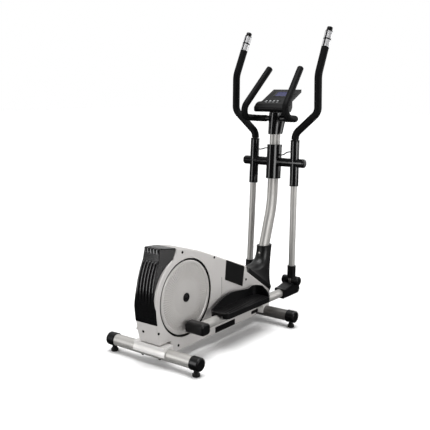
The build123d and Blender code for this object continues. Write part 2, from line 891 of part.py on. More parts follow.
def shell_body(sign, inset):
    """Solid of one side shell, or of its inside when inset by the wall, sharp along the dark panel."""
    with BuildPart() as body:
        with BuildSketch(side.offset(-sign * seam / 2)):
            make_face(shell_outline())
            if inset:
                offset(amount=-inset, kind=Kind.INTERSECTION)
        extrude(amount=-sign * (housing_half - seam / 2 - inset))
        if not inset:
            outer_face = body.faces().sort_by(Axis.Y)[0 if sign < 0 else -1]
            panel_mid = Vector(rear_x + panel_edge.X, sign * housing_half, panel_edge.Y)
            fillet(outer_face.edges().sort_by_distance(panel_mid)[1:], shell_round)
        with BuildSketch():
            with Locations((rear_x, 0)):
                RectangleRounded(2 * (nose_x - inset), 2 * (housing_half - inset), nose_round - inset)
        extrude(amount=2 * rear_top[1], mode=Mode.INTERSECT)
    return body.part


def rear_cover_zone(extra):
    """Everything behind and above the housing's inside, where the rear cover lies."""
    with BuildSketch() as zone:
        zone_right = top_rear[0] - seam + extra
        zone_height = 2 * (rear_top[1] - rear_cover_bottom)
        with Locations((zone_right - nose_x, rear_cover_bottom - extra + zone_height / 2)):
            Rectangle(2 * nose_x, zone_height)
        with BuildSketch(mode=Mode.PRIVATE) as inside:
            make_face(housing_outline())
            offset(amount=-rear_cover_wall - extra, kind=Kind.INTERSECTION)
        add(inside.sketch, mode=Mode.SUBTRACT)
    return zone.sketch


# Painted side shells
for side_name, sign in (("right", -1), ("left", 1)):
    with BuildPart() as shell:
        add(shell_body(sign, 0.0))
        add(shell_body(sign, shell_wall), mode=Mode.SUBTRACT)
        for place in screw_places:
            with BuildSketch(side.offset(-sign * seam / 2)):
                with Locations(place):
                    Circle(boss_radius)
            extrude(amount=-sign * (housing_half - seam / 2 - shell_wall / 2))
        for x, z in screw_places:
            cross_bore(x, z, screw_radius + slip, 0, sign * 2 * housing_half)
        cross_bore(crank_x, crank_z, disc_hole_radius, sign * (housing_half - 3 * shell_wall),
                   sign * 2 * housing_half)
        with Locations((beam_mid, 0, beam_bottom + beam_height / 2)):
            Box(beam_front - beam_rear + 2 * beam_room, 2 * (beam_half + beam_room),
                beam_height + 2 * beam_room, mode=Mode.SUBTRACT)
        with BuildSketch(mast_plane(stub_foot.X, stub_foot.Y, mast_low_dir)):
            Ellipse(stub_long + 2 * shell_wall, stub_short + 2 * shell_wall)
        extrude(amount=2 * stub_drop, mode=Mode.SUBTRACT)
        with BuildSketch(side):
            add(rear_cover_zone(seam))
        extrude(amount=rear_cover_half + seam, both=True, mode=Mode.SUBTRACT)
    save(shell, f"{side_name}_side_shell")

# Rear cover: a curved plate up the back and over the top, between the two slanting panels
with BuildPart() as rear_cover:
    with BuildSketch(side):
        make_face(housing_outline())
        add(rear_cover_zone(0.0), mode=Mode.INTERSECT)
    extrude(amount=rear_cover_half, both=True)
    for sign in (-1, 1):
        split(bisect_by=facet_plane(sign), keep=Keep.BOTTOM)
save(rear_cover, "rear_cover")


def rear_panel(sign):
    """One dark panel, cut from the housing's outline between its outer and inner planes."""
    with BuildPart() as panel:
        with BuildSketch(side.offset(-sign * seam)):
            make_face(housing_outline())
            offset(amount=-rear_cover_wall - seam, kind=Kind.INTERSECTION)
            with BuildSketch(mode=Mode.PRIVATE) as front:
                make_face(shell_outline())
                offset(amount=seam, kind=Kind.INTERSECTION)
            add(front.sketch_local, mode=Mode.SUBTRACT)
        extrude(amount=-sign * housing_half)
        split(bisect_by=facet_plane(sign), keep=Keep.BOTTOM)
        split(bisect_by=facet_plane(sign, panel_wall), keep=Keep.TOP)
    return panel.part


# Dark side panels between the rear cover and the painted shells
with BuildPart() as rear_panels:
    add(rear_panel(-1))
    add(rear_panel(1))
save(rear_panels, "rear_panels")

# Screws through the bosses that hold the side shells together
with BuildPart() as shell_screws:
    for place in screw_places:
        for sign in (-1, 1):
            with BuildSketch(turning_plane(*place, sign)):
                with BuildLine():
                    Polyline(
                        (seam, 0),
                        (housing_half + screw_head_height, 0),
                        (housing_half + screw_head_height, screw_head_radius - 1.5 * screw_head_rim),
                        (housing_half + screw_head_rim, screw_head_radius),
                        (housing_half, screw_head_radius),
                        (housing_half, screw_radius),
                        (seam, screw_radius),
                        close=True,
                    )
                make_face()
            revolve(axis=cross_axis(*place))
save(shell_screws, "shell_screws")

# Mast: an oval tube that bends forward, with holes for the pivot shaft and the handlebar
bar_x = mast_x(bar_z)
with BuildPart() as mast_tube:
    with BuildLine(side) as mast_path:
        FilletPolyline(mast_base, mast_bend, mast_top, radius=mast_bend_radius)
    with BuildSketch(mast_plane(*mast_base, mast_low_dir)):
        Ellipse(mast_long, mast_short)
        Ellipse(mast_long - mast_wall, mast_short - mast_wall, mode=Mode.SUBTRACT)
    sweep()
    cross_bore(pivot_x, pivot_z, shaft_radius + slip, -mast_long, mast_long)
    cross_bore(bar_x, bar_z, bar_radius + slip, -mast_long, mast_long)
save(mast_tube, "mast_tube")

# Boot that closes the housing round the foot of the mast
boot_slope = (Vector(*boot_line_rear) - Vector(*boot_line_front)).normalized()
boot_normal = Vector(-boot_slope.Y, boot_slope.X) * -1
boot_foot_long = (Vector(*boot_line_rear) - Vector(*boot_line_front)).length
boot_top_x = mast_base[0] + (boot_top_z - mast_base[1]) * mast_low_dir.X / mast_low_dir.Y
waist_normal = Vector(boot_waist_lean, 1).normalized()
with BuildPart() as mast_boot:
    low_centre = (Vector(*boot_line_rear) + Vector(*boot_line_front)) * 0.5
    foot = mast_plane(low_centre.X, low_centre.Y, boot_normal)
    for inset, mode in ((0.0, Mode.ADD), (boot_wall, Mode.SUBTRACT)):
        step_in = inset + boot_crease
        with BuildSketch(foot):
            RectangleRounded(boot_foot_long - 2 * inset, 2 * (boot_half - inset), boot_band_round - inset)
        extrude(amount=boot_band - inset, mode=mode)
        with BuildSketch(foot.offset(boot_band - inset)):
            RectangleRounded(boot_foot_long - 2 * step_in, 2 * (boot_half - step_in),
                             boot_band_round - step_in)
        with BuildSketch(mast_plane(*boot_waist, waist_normal)):
            RectangleRounded(boot_waist_long - 2 * inset, 2 * (boot_waist_half - inset), boot_round - inset)
        with BuildSketch(mast_plane(boot_top_x, boot_top_z - inset, Vector(0, 1))):
            top_half = mast_short + boot_margin - inset
            RectangleRounded(2 * (mast_long + boot_margin - inset), 2 * top_half, top_half - boot_top_flat)
        loft(mode=mode)
    with BuildSketch(mast_plane(boot_top_x, boot_top_z, mast_low_dir)):
        Ellipse(mast_long + slip, mast_short + slip)
    extrude(amount=boot_band, both=True, mode=Mode.SUBTRACT)
save(mast_boot, "mast_boot")

# Cover clamped on the mast at the pivot
clamp_x = mast_x(clamp_bottom)
clamp_height = (clamp_top - clamp_bottom) / mast_up_dir.Y
with BuildPart() as pivot_clamp_cover:
    foot = mast_plane(clamp_x, clamp_bottom, mast_up_dir)
    with BuildSketch(foot):
        Ellipse(clamp_long, clamp_short)
    extrude(amount=clamp_height)
    with BuildSketch(foot.offset(clamp_wall)):
        Ellipse(clamp_long - clamp_wall, clamp_short - clamp_wall)
    extrude(amount=clamp_height - 2 * clamp_wall, mode=Mode.SUBTRACT)
    with BuildSketch(foot):
        Ellipse(mast_long + slip, mast_short + slip)
    extrude(amount=clamp_height, mode=Mode.SUBTRACT)
    for cable, sign in ((right_cable, -1), (left_cable, 1)):
        y_end, z_end = cable[-1]
        with BuildSketch(Plane(origin=(rear_x + pivot_x, sign * y_end, z_end), z_dir=(0, -sign, 0))):
            Circle(gland_radius)
        extrude(amount=y_end - clamp_short + clamp_wall)
    cross_bore(pivot_x, pivot_z, shaft_cover_radius + slip, -clamp_long, clamp_long)
save(pivot_clamp_cover, "pivot_clamp_cover")

# Pivot shaft through the mast, with its cover tubes out to the swing arms
with BuildPart() as pivot_shaft:
    with BuildSketch(side):
        with Locations((pivot_x, pivot_z)):
            Circle(shaft_radius)
    extrude(amount=shaft_half, both=True)
    cover_from = mast_short + shaft_cover_gap
    cover_to = hub_inner - 2 * shaft_cover_gap
    for sign in (-1, 1):
        with BuildSketch(turning_plane(pivot_x, pivot_z, sign)):
            with BuildLine():
                Polyline(*ring_points(cover_from, cover_to, 0, shaft_cover_radius), close=True)
            make_face()
        revolve(axis=pivot_axis)
save(pivot_shaft, "pivot_shaft")

# Console: a flat panel tilted to the user, with a thick rounded lip along its near edge
face_dir = (Vector(*face_high) - Vector(*face_low)).normalized()
face_up = Vector(-face_dir.Y, face_dir.X)
face = Plane(
    origin=(rear_x + face_low[0], 0, face_low[1]),
    x_dir=(face_dir.X, 0, face_dir.Y),
    z_dir=(face_up.X, 0, face_up.Y),
)
panel_back = Vector(*face_high) - face_up * console_thick
panel_root = Vector(*face_low) + face_dir * console_lip_depth - face_up * console_thick
console_outline = (
    face_low,
    face_high,
    (panel_back.X, panel_back.Y),
    (panel_root.X, panel_root.Y),
    console_heel,
    console_lip,
)


def console_plan():
    """Half of the outline from above: the wide lip, then the panel's straight side."""
    near = rear_x + console_lip[0]
    lip_end = near + console_lip_long
    far = rear_x + panel_back.X
    return ((near, console_half_low), (lip_end, console_half_low), (lip_end, console_half_high),
            (far, console_half_high))


def oval(long, wide, extra=0.0):
    SlotOverall(long + 2 * extra, wide + 2 * extra, rotation=90)


def console_wedge(inset):
    """Solid of the console, or of its inside when inset by the wall."""
    with BuildPart() as wedge:
        with BuildSketch(side):
            with BuildLine():
                Polyline(*console_outline, close=True)
            corners = make_face().vertices().sort_by(Axis.X)
            fillet(corners[:2], console_lip_round)
            fillet(corners[2:4], console_edge)
            fillet(corners[4:], console_far_edge)
            if inset:
                offset(amount=-inset)
        extrude(amount=2 * console_half_low, both=True)
        with BuildSketch():
            with BuildLine():
                right_half = [(x, -y) for x, y in reversed(console_plan())]
                Polyline(*console_plan(), *right_half, close=True)
            plan = make_face()
            fillet(plan.vertices(), console_corner)
            if inset:
                offset(amount=-inset)
        extrude(amount=2 * face_high[1], mode=Mode.INTERSECT)
    return wedge.part


# Cover that carries the fixed handlebar, with a neck up to the underside of the console
with BuildPart() as handlebar_cover:
    cover_head = Plane(origin=(rear_x + mast_x(cover_top) + cover_top_shift, 0, cover_top))
    with BuildSketch(cover_head):
        Ellipse(cover_top_long, cover_top_short)
    extrude(amount=face_high[1] - cover_top)
    split(bisect_by=face.offset(-console_thick), keep=Keep.BOTTOM)
    neck_rear = Plane(origin=(rear_x + panel_root.X + console_neck_gap, 0, 0), z_dir=(1, 0, 0))
    split(bisect_by=neck_rear, keep=Keep.TOP)
    with BuildSketch(Plane(origin=(rear_x + mast_x(cover_bottom), 0, cover_bottom))):
        Ellipse(cover_long, cover_short)
    with BuildSketch(cover_head):
        Ellipse(cover_top_long, cover_top_short)
    loft()
    foot = mast_plane(mast_x(cover_bottom), cover_bottom, mast_up_dir)
    mast_inside = (mast_top[1] - cover_bottom) / mast_up_dir.Y
    with BuildSketch(foot.offset(-cover_long)):
        Ellipse(mast_long + slip, mast_short + slip)
    extrude(amount=mast_inside + cover_long + slip, mode=Mode.SUBTRACT)
    cross_bore(bar_x, bar_z, bar_radius + slip, -2 * cover_top_short, 2 * cover_top_short)
save(handlebar_cover, "handlebar_cover")

# Fixed handlebar: one bent tube through the mast
bar_points = [(rear_x + bar_tip[0], -bar_tip[1], bar_tip[2]),
              (rear_x + bar_rear_x, -bar_half, bar_rear_z),
              (rear_x + bar_x, -bar_half, bar_z)]
bar_points += [(x, -y, z) for x, y, z in reversed(bar_points)]
with BuildPart() as fixed_handlebar:
    with BuildLine() as bar_path:
        FilletPolyline(*bar_points, radius=[bar_rear_bend, bar_side_bend, bar_side_bend, bar_rear_bend])
    with BuildSketch(Plane(origin=bar_path.line @ 0, z_dir=bar_path.line % 0)):
        Circle(bar_radius)
        Circle(bar_radius - bar_wall, mode=Mode.SUBTRACT)
    sweep()
save(fixed_handlebar, "fixed_handlebar")

# Foam grips round the two prongs, from near the mast to the closed tips
with BuildPart() as fixed_grips:
    for sign in (-1, 1):
        tip = Vector(rear_x + bar_tip[0], sign * bar_tip[1], bar_tip[2])
        root = Vector(rear_x + bar_rear_x, sign * bar_half, bar_rear_z)
        corner = Vector(rear_x + bar_x, sign * bar_half, bar_z)
        inner = Vector(rear_x + bar_x, sign * grip_inner_y, bar_z)
        down = (root - tip).normalized()
        for start, radius, mode in ((tip - down * grip_cap, grip_radius, Mode.ADD),
                                    (tip, bar_radius + slip, Mode.SUBTRACT)):
            with BuildLine() as grip_path:
                FilletPolyline(start, root, corner, inner, radius=[bar_rear_bend, bar_side_bend])
            with BuildSketch(Plane(origin=start, z_dir=down)):
                Circle(radius)
            sweep(path=grip_path.line, mode=mode)
save(fixed_grips, "fixed_grips")

with BuildPart() as console_body:
    add(console_wedge(0.0))
    add(console_wedge(console_wall), mode=Mode.SUBTRACT)
    with BuildSketch(face.offset(-lens_thick)):
        with Locations((lens_s, 0)):
            Rectangle(lens_height + 2 * slip, lens_width + 2 * slip)
    extrude(amount=2 * lens_thick, mode=Mode.SUBTRACT)
    with BuildSketch(face.offset(-2 * console_wall)):
        for y in button_y:
            with Locations((button_s, y)):
                oval(button_long, button_wide, seat_gap)
        with Locations((oval_s, oval_y)):
            oval(oval_long, oval_wide, seat_gap)
    extrude(amount=4 * console_wall, mode=Mode.SUBTRACT)
save(console_body, "console_body")

with BuildPart() as console_lens:
    with BuildSketch(face.offset(-lens_thick)):
        with Locations((lens_s, 0)):
            Rectangle(lens_height, lens_width)
    extrude(amount=lens_thick)
save(console_lens, "console_lens")

button_places = [(button_s, y, button_long, button_wide) for y in button_y]
button_places.append((oval_s, oval_y, oval_long, oval_wide))
button_names = ("menu_button", "down_button", "up_button", "reset_button", "pulse_button")
for name, (s, y, long, wide) in zip(button_names, button_places):
    with BuildPart() as button:
        with BuildSketch(face.offset(button_proud - button_depth)):
            with Locations((s, y)):
                oval(long, wide)
        extrude(amount=button_depth)
    save(button, name)

# Swing arms
for arm in sides:
    up = arm.swing_up()

    # Lower tube, from the tee to inside the pivot sleeve
    with BuildPart() as swing_tube:
        foot_up = tee_radius + seat_gap - swing_reach
        with BuildSketch(Plane(origin=arm.swing_point(0, foot_up), z_dir=up)):
            Circle(swing_tube_radius)
            Circle(swing_tube_radius - swing_tube_wall, mode=Mode.SUBTRACT)
        extrude(amount=swing_tube_top - foot_up)
    save(swing_tube, f"{arm.name}_swing_tube")

    # Cross-shaped sleeve that turns on the pivot shaft
    with BuildPart() as sleeve:
        with BuildSketch(Plane(origin=arm.swing_point(0, sleeve_bottom), z_dir=up)):
            Circle(sleeve_radius)
        extrude(amount=sleeve_top - sleeve_bottom)
        fillet(sleeve.edges().filter_by(GeomType.CIRCLE), sleeve_round)
        with BuildSketch(turning_plane(pivot_x, pivot_z, arm.sign)):
            with BuildLine():
                Polyline((hub_outer - hub_round, hub_radius), (hub_inner, hub_radius), (hub_inner, 0),
                         (hub_outer, 0), (hub_outer, hub_radius - hub_round))
                RadiusArc((hub_outer, hub_radius - hub_round),
                          (hub_outer - hub_round, hub_radius), -hub_round)
            make_face()
        revolve(axis=pivot_axis)
        cable = right_cable if arm.sign < 0 else left_cable
        gland_y, gland_z = cable[0]
        gland_place = (rear_x + pivot_x, arm.sign * gland_y, gland_z)
        with BuildSketch(Plane(origin=gland_place, z_dir=(0, arm.sign, 0))):
            Circle(gland_radius)
        extrude(amount=arm_y - gland_y)
        cross_bore(pivot_x, pivot_z, shaft_radius + running, 0, arm.sign * (shaft_half + shaft_cover_gap))
        with BuildSketch(Plane(origin=arm.swing_point(0, sleeve_bottom), z_dir=up)):
            Circle(swing_tube_radius + slip)
        extrude(amount=swing_tube_top + slip - sleeve_bottom, mode=Mode.SUBTRACT)
        with BuildSketch(Plane(origin=arm.swing_point(0, handle_seat - slip), z_dir=up)):
            Circle(handle_radius + slip)
        extrude(amount=sleeve_top + slip - handle_seat, mode=Mode.SUBTRACT)
    save(sleeve, f"{arm.name}_pivot_sleeve")

    # Upper handle: bent hollow tube with a foam cover from the sleeve up and a closed, narrower tip
    with BuildPart() as handle:
        corners = [arm.swing_point(0, handle_seat), arm.swing_point(*handle_bend_low),
                   arm.swing_point(*handle_bend_mid, handle_out),
                   arm.swing_point(*handle_bend_top, handle_out),
                   arm.swing_point(*handle_tip, handle_out)]
        with BuildLine() as handle_path:
            FilletPolyline(*corners, radius=[handle_low_round, handle_mid_round, handle_top_round])
        with BuildSketch(Plane(origin=handle_path.line @ 0, z_dir=handle_path.line % 0)):
            Circle(handle_radius)
        sweep()
        lean = (corners[4] - corners[3]).normalized()
        with BuildLine() as foam_path:
            FilletPolyline(arm.swing_point(0, foam_foot), *corners[1:4], corners[4] - lean * tip_length,
                           radius=[handle_low_round, handle_mid_round, handle_top_round])
        with BuildSketch(Plane(origin=foam_path.line @ 0, z_dir=foam_path.line % 0)):
            Circle(foam_radius)
        sweep()
        with BuildLine() as bore_path:
            FilletPolyline(*corners[:4], corners[4] - lean * tip_length,
                           radius=[handle_low_round, handle_mid_round, handle_top_round])
        with BuildSketch(Plane(origin=bore_path.line @ 0, z_dir=bore_path.line % 0)):
            Circle(handle_radius - handle_wall)
        sweep(mode=Mode.SUBTRACT)
    save(handle, f"{arm.name}_handle")

    # Hand-pulse plates: two rings, each in a front and a rear half, round the foam
    with BuildPart() as plates:
        top = corners[4] - lean * (tip_length + plate_space)
        for number in range(2):
            start = top - lean * ((number + 1) * plate_length + number * plate_space)
            with BuildSketch(Plane(origin=start, x_dir=(0, 1, 0), z_dir=lean)):
                Circle(foam_radius + slip / 2 + plate_thick)
                Circle(foam_radius + slip / 2, mode=Mode.SUBTRACT)
                Rectangle(4 * foam_radius, plate_split, mode=Mode.SUBTRACT, rotation=90)
            extrude(amount=plate_length)
    save(plates, f"{arm.name}_pulse_plates")

    # Lower tee: a socket on the tube's foot over a cross barrel with a slot for the pedal arm's lug
    with BuildPart() as tee:
        with BuildSketch(arm.swing_plane()):
            with Locations((0, -swing_reach)):
                Circle(tee_radius)
        extrude(amount=tee_half, both=True)
        fillet(tee.edges().filter_by(GeomType.CIRCLE), tee_round)
        with BuildSketch(Plane(origin=arm.swing_point(0, -swing_reach), z_dir=up)):
            Circle(socket_radius)
        extrude(amount=socket_top)
        with BuildSketch(Plane(origin=arm.swing_point(0, tee_radius - swing_reach), z_dir=up)):
            Circle(swing_tube_radius + slip)
        extrude(amount=socket_top, mode=Mode.SUBTRACT)
        with BuildSketch(arm.swing_plane()):
            with Locations((0, -swing_reach + tee_slot_top - tee_radius)):
                Rectangle(3 * tee_radius, 2 * tee_radius)
            with Locations((0, -swing_reach)):
                Circle(tee_pin_radius, mode=Mode.SUBTRACT)
        extrude(amount=tee_slot_half, both=True, mode=Mode.SUBTRACT)
    save(tee, f"{arm.name}_swing_tee")

# Pedal arms
for arm in sides:
    forward = arm.pedal_forward()

    # Tube with the lug that hangs on the tee's pin
    with BuildPart() as pedal_arm:
        tube_back = -pin_back + crank_cover_long / 2 - crank_cover_overlap
        with BuildSketch(Plane(origin=arm.pedal_point(tube_back, -pedal_tube_drop), z_dir=forward)):
            Circle(pedal_tube_radius)
        extrude(amount=pedal_tube_front - tube_back)
        with BuildSketch(arm.pedal_plane()):
            Circle(lug_radius)
            with Locations((0, -pedal_tube_drop / 2)):
                Rectangle(2 * lug_radius, pedal_tube_drop)
        extrude(amount=lug_half, both=True)
        with BuildSketch(Plane(origin=arm.pedal_point(tube_back, -pedal_tube_drop), z_dir=forward)):
            Circle(pedal_tube_radius - pedal_tube_wall)
        extrude(amount=pedal_tube_front - tube_back - 2 * lug_radius, mode=Mode.SUBTRACT)
        with BuildSketch(arm.pedal_plane()):
            Circle(tee_pin_radius + running)
        extrude(amount=2 * lug_half, both=True, mode=Mode.SUBTRACT)
    save(pedal_arm, f"{arm.name}_pedal_arm")

    # Moulded cover round the front of the tube, hollowed to clear the tee
    with BuildPart() as joint_cover:
        cheek_inner = tee_radius + joint_cover_room
        cheek_outer = cheek_inner + joint_cover_wall
        tube_skin = pedal_tube_radius + joint_cover_skin - pedal_tube_drop
        with BuildSketch(arm.pedal_plane()):
            with BuildLine():
                Polyline(
                    (joint_cover_rear, joint_cover_bottom),
                    (joint_cover_front - joint_cover_toe, joint_cover_bottom),
                    (joint_cover_front, joint_cover_bottom + joint_cover_toe),
                    (cheek_outer, joint_cover_cheek),
                    (-cheek_outer, joint_cover_cheek),
                    (joint_cover_rear + joint_cover_ramp, tube_skin),
                    (joint_cover_rear, tube_skin),
                    close=True,
                )
            make_face()
        extrude(amount=joint_cover_half, both=True)
        fillet(joint_cover.edges().filter_by(Axis.Y, reverse=True), joint_cover_round)
        bore_foot = arm.pedal_point(tube_back, -pedal_tube_drop)
        with BuildSketch(Plane(origin=bore_foot, z_dir=forward)):
            Circle(pedal_tube_radius + slip)
        extrude(amount=pedal_tube_front - tube_back + slip, mode=Mode.SUBTRACT)
        with BuildSketch(arm.pedal_plane()):
            Circle(cheek_inner)
        extrude(amount=2 * joint_cover_half, both=True, mode=Mode.SUBTRACT)
        with BuildSketch(arm.pedal_plane()):
            with Locations((0, -pedal_tube_drop / 2)):
                Rectangle(2 * (lug_radius + slip), pedal_tube_drop + 2 * pedal_tube_radius)
        extrude(amount=lug_half + slip, both=True, mode=Mode.SUBTRACT)
    save(joint_cover, f"{arm.name}_joint_cover")

    # Cover of the crank-end bearing, across the rear end of the tube
    with BuildPart() as crank_cover:
        cover_plane = arm.pedal_plane(crank_cover_inner - arm_y)
        with BuildSketch(cover_plane):
            with Locations((-pin_back, -pedal_tube_drop)):
                RectangleRounded(crank_cover_long, crank_cover_high, crank_cover_round)
        extrude(amount=-arm.sign * (crank_cover_outer - crank_cover_inner))
        outer = crank_cover.faces().sort_by(Axis.Y)[0 if arm.sign < 0 else -1]
        fillet(outer.edges(), crank_cover_round / 2)
        with BuildSketch(Plane(origin=arm.pedal_point(tube_back - slip, -pedal_tube_drop), z_dir=forward)):
            Circle(pedal_tube_radius + slip)
        extrude(amount=crank_cover_long, mode=Mode.SUBTRACT)
        with BuildSketch(cover_plane):
            with Locations((-pin_back, -pedal_tube_drop)):
                Circle(crank_pin_radius + slip)
        extrude(amount=-arm.sign * (arm_y - crank_cover_inner), mode=Mode.SUBTRACT)
    save(crank_cover, f"{arm.name}_crank_cover")

    # Foot pedal: a tray with a low outer lip and a high inner wall that rises to the toe
    with BuildPart() as pedal:
        base_up = pedal_tube_radius + seat_gap - pedal_tube_drop
        mid = (pedal_rear + pedal_front) / 2
        long = pedal_front - pedal_rear
        wide = pedal_outer - pedal_inner
        centre_out = (pedal_inner + pedal_outer) / 2 - arm_y
        tray_plane = Plane(origin=arm.pedal_point(mid, base_up, centre_out), x_dir=forward,
                           z_dir=arm.pedal_plane().y_dir)
        with BuildSketch(tray_plane.offset(-pedal_skirt)):
            RectangleRounded(long, wide, pedal_round)
        extrude(amount=pedal_skirt + pedal_toe_wall)
        with BuildSketch(tray_plane.offset(pedal_floor)):
            RectangleRounded(long - 2 * pedal_wall, wide - 2 * pedal_wall, pedal_round - pedal_wall)
        extrude(amount=pedal_toe_wall, mode=Mode.SUBTRACT)
        with BuildSketch(tray_plane.offset(-pedal_skirt)):
            Rectangle(long, wide - 2 * pedal_skirt_inset)
        extrude(amount=pedal_skirt, mode=Mode.SUBTRACT)
        behind = pedal_rear - pedal_wall
        before = pedal_front + pedal_wall
        wall_points = [(pedal_rear + back, base_up + rise) for back, rise in pedal_heel_line]
        wall_points += [(pedal_front - ahead, base_up + rise) for ahead, rise in pedal_toe_line]
        wall_points.append((before, base_up + pedal_front_wall))
        with BuildSketch(arm.pedal_plane()):
            with BuildLine():
                high = base_up + 2 * pedal_toe_wall
                low = wall_points[0][1]
                Polyline(wall_points[-1], (before, high), (behind, high), (behind, low), wall_points[0])
                Spline(*wall_points)
            make_face()
        extrude(amount=2 * pedal_outer, both=True, mode=Mode.SUBTRACT)
        slant = Plane(origin=arm.pedal_point(behind, base_up, centre_out),
                      x_dir=(0, arm.sign, 0), z_dir=forward * arm.sign)
        inner_edge = -wide / 2
        with BuildSketch(slant):
            with BuildLine():
                Polyline(
                    (inner_edge + pedal_wall, 2 * pedal_toe_wall),
                    (inner_edge + pedal_wall, pedal_toe_wall),
                    (inner_edge + pedal_shoulder[0], pedal_shoulder[1]),
                    (pedal_slope[0], pedal_slope[1]),
                    (wide / 2 - pedal_wall, pedal_lip),
                    (wide, pedal_lip),
                    (wide, 2 * pedal_toe_wall),
                    close=True,
                )
            make_face()
        extrude(amount=arm.sign * (before - behind), mode=Mode.SUBTRACT)
    save(pedal, f"{arm.name}_foot_pedal")

# Pulse cables between the sleeves and the pivot cover
for arm, points in ((sides[0], right_cable), (sides[1], left_cable)):
    route = [Vector(rear_x + pivot_x, arm.sign * y, z) for y, z in points]
    radii = []
    for before, here, after in zip(route, route[1:], route[2:]):
        turn = math.radians((here - before).get_angle(after - here))
        shorter = min((here - before).length, (after - here).length)
        radii.append(cable_bend_share * shorter / math.tan(turn / 2))
    with BuildPart() as cable:
        with BuildLine() as cable_path:
            FilletPolyline(*route, radius=radii)
        with BuildSketch(Plane(origin=cable_path.line @ 0, z_dir=cable_path.line % 0)):
            Circle(cable_radius)
        sweep()
    cable_length = sum(edge.length for edge in cable_path.edges())
    ideal = math.pi * cable_radius**2 * cable_length
    print(arm.name, "cable radii", [round(r) for r in radii], "length", round(cable_length, 1),
          "volume share", round(cable.part.volume / ideal, 4))
    save(cable, f"{arm.name}_pulse_cable")

lows = [min(box.min.X for box in boxes), min(box.min.Y for box in boxes), min(box.min.Z for box in boxes)]
highs = [max(box.max.X for box in boxes), max(box.max.Y for box in boxes), max(box.max.Z for box in boxes)]
print("lowest corner", lows, "highest corner", highs)
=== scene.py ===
import math

import bmesh
import bpy
from mathutils import Matrix, Vector


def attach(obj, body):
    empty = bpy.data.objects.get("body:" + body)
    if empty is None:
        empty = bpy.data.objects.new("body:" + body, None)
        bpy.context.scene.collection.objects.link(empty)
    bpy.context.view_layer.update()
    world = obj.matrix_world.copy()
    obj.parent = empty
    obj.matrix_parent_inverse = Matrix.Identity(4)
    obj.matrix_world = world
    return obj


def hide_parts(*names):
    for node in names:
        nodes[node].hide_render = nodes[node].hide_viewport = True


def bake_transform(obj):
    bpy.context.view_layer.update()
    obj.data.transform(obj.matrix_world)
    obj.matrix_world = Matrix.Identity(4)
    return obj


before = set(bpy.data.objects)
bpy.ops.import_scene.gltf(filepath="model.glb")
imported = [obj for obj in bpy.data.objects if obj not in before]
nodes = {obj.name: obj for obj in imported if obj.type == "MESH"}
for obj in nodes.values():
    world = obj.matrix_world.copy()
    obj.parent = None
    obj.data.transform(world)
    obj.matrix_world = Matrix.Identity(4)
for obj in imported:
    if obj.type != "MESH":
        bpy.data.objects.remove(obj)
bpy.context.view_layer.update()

rearX = -0.580506  # the rear stabiliser's axis; places along the machine count forward from it
mm = 0.001
toFrame = Matrix.Translation((rearX, 0.0, 0.0)) @ Matrix.Scale(mm, 4)


def at(x, y, z):
    return Vector((rearX + x * mm, y * mm, z * mm))


print("frame loaded:", len(nodes), "nodes")


# Camera at the photograph's angle, matched on the stabilisers, the disc and the handle tops
cameraView = {
    "place": (-2348.4, -2158.6, 1316.6), "turn": (79.525, 0.0, -52.769),
    "lens": 57.97, "sensor": 36.0, "clipEnd": 60.0,
}


def makeCamera():
    data = bpy.data.cameras.new("camera")
    data.lens = cameraView["lens"]
    data.sensor_width = cameraView["sensor"]
    data.clip_end = cameraView["clipEnd"]
    camera = bpy.data.objects.new("camera", data)
    camera.location = at(*cameraView["place"])
    camera.rotation_euler = [math.radians(a) for a in cameraView["turn"]]
    bpy.context.scene.collection.objects.link(camera)
    bpy.context.scene.camera = camera


makeCamera()


# White sweep: an evenly lit paper floor and backdrop, darker round the camera, with soft boxes for the
# highlights. Gloss sees the floor as dark, as it would between flags.
studio = {
    "cameraSide": 0.04,
    "backdrop": 0.65,
    "backdropAim": (0.796, 0.605, 0.0),
    "backdropBlend": (-0.25, 0.55),
    "floorHalf": 30.0,
    "floorRoughness": 0.9,
    "floorColour": "#FFFFFF",
    "floorInGloss": "#2A2A2A",
    "sun": (2.9, 45.0, (0.0, 0.0, 0.0)),
    "softBoxes": [
        ("rearStrip", (-3100, 1700, 1250), (200, 0, 900), (1.1, 2.5), 60),
        ("sideBox", (700, -3900, 950), (500, 0, 600), (2.2, 1.4), 62),
        ("frontBox", (3400, -1500, 1300), (900, 0, 900), (1.2, 1.6), 14),
    ],
}


def linear(code):
    parts = [int(code[i:i + 2], 16) / 255 for i in (1, 3, 5)]
    return [c / 12.92 if c <= 0.04045 else ((c + 0.055) / 1.055) ** 2.4 for c in parts] + [1.0]


def addNode(tree, kind, settings=None, links=None):
    node = tree.nodes.new(kind)
    for key, value in (settings or {}).items():
        if isinstance(key, int) or key in node.inputs:
            node.inputs[key].default_value = value
        else:
            setattr(node, key, value)
    for key, source in (links or {}).items():
        tree.links.new(source, node.inputs[key])
    return node


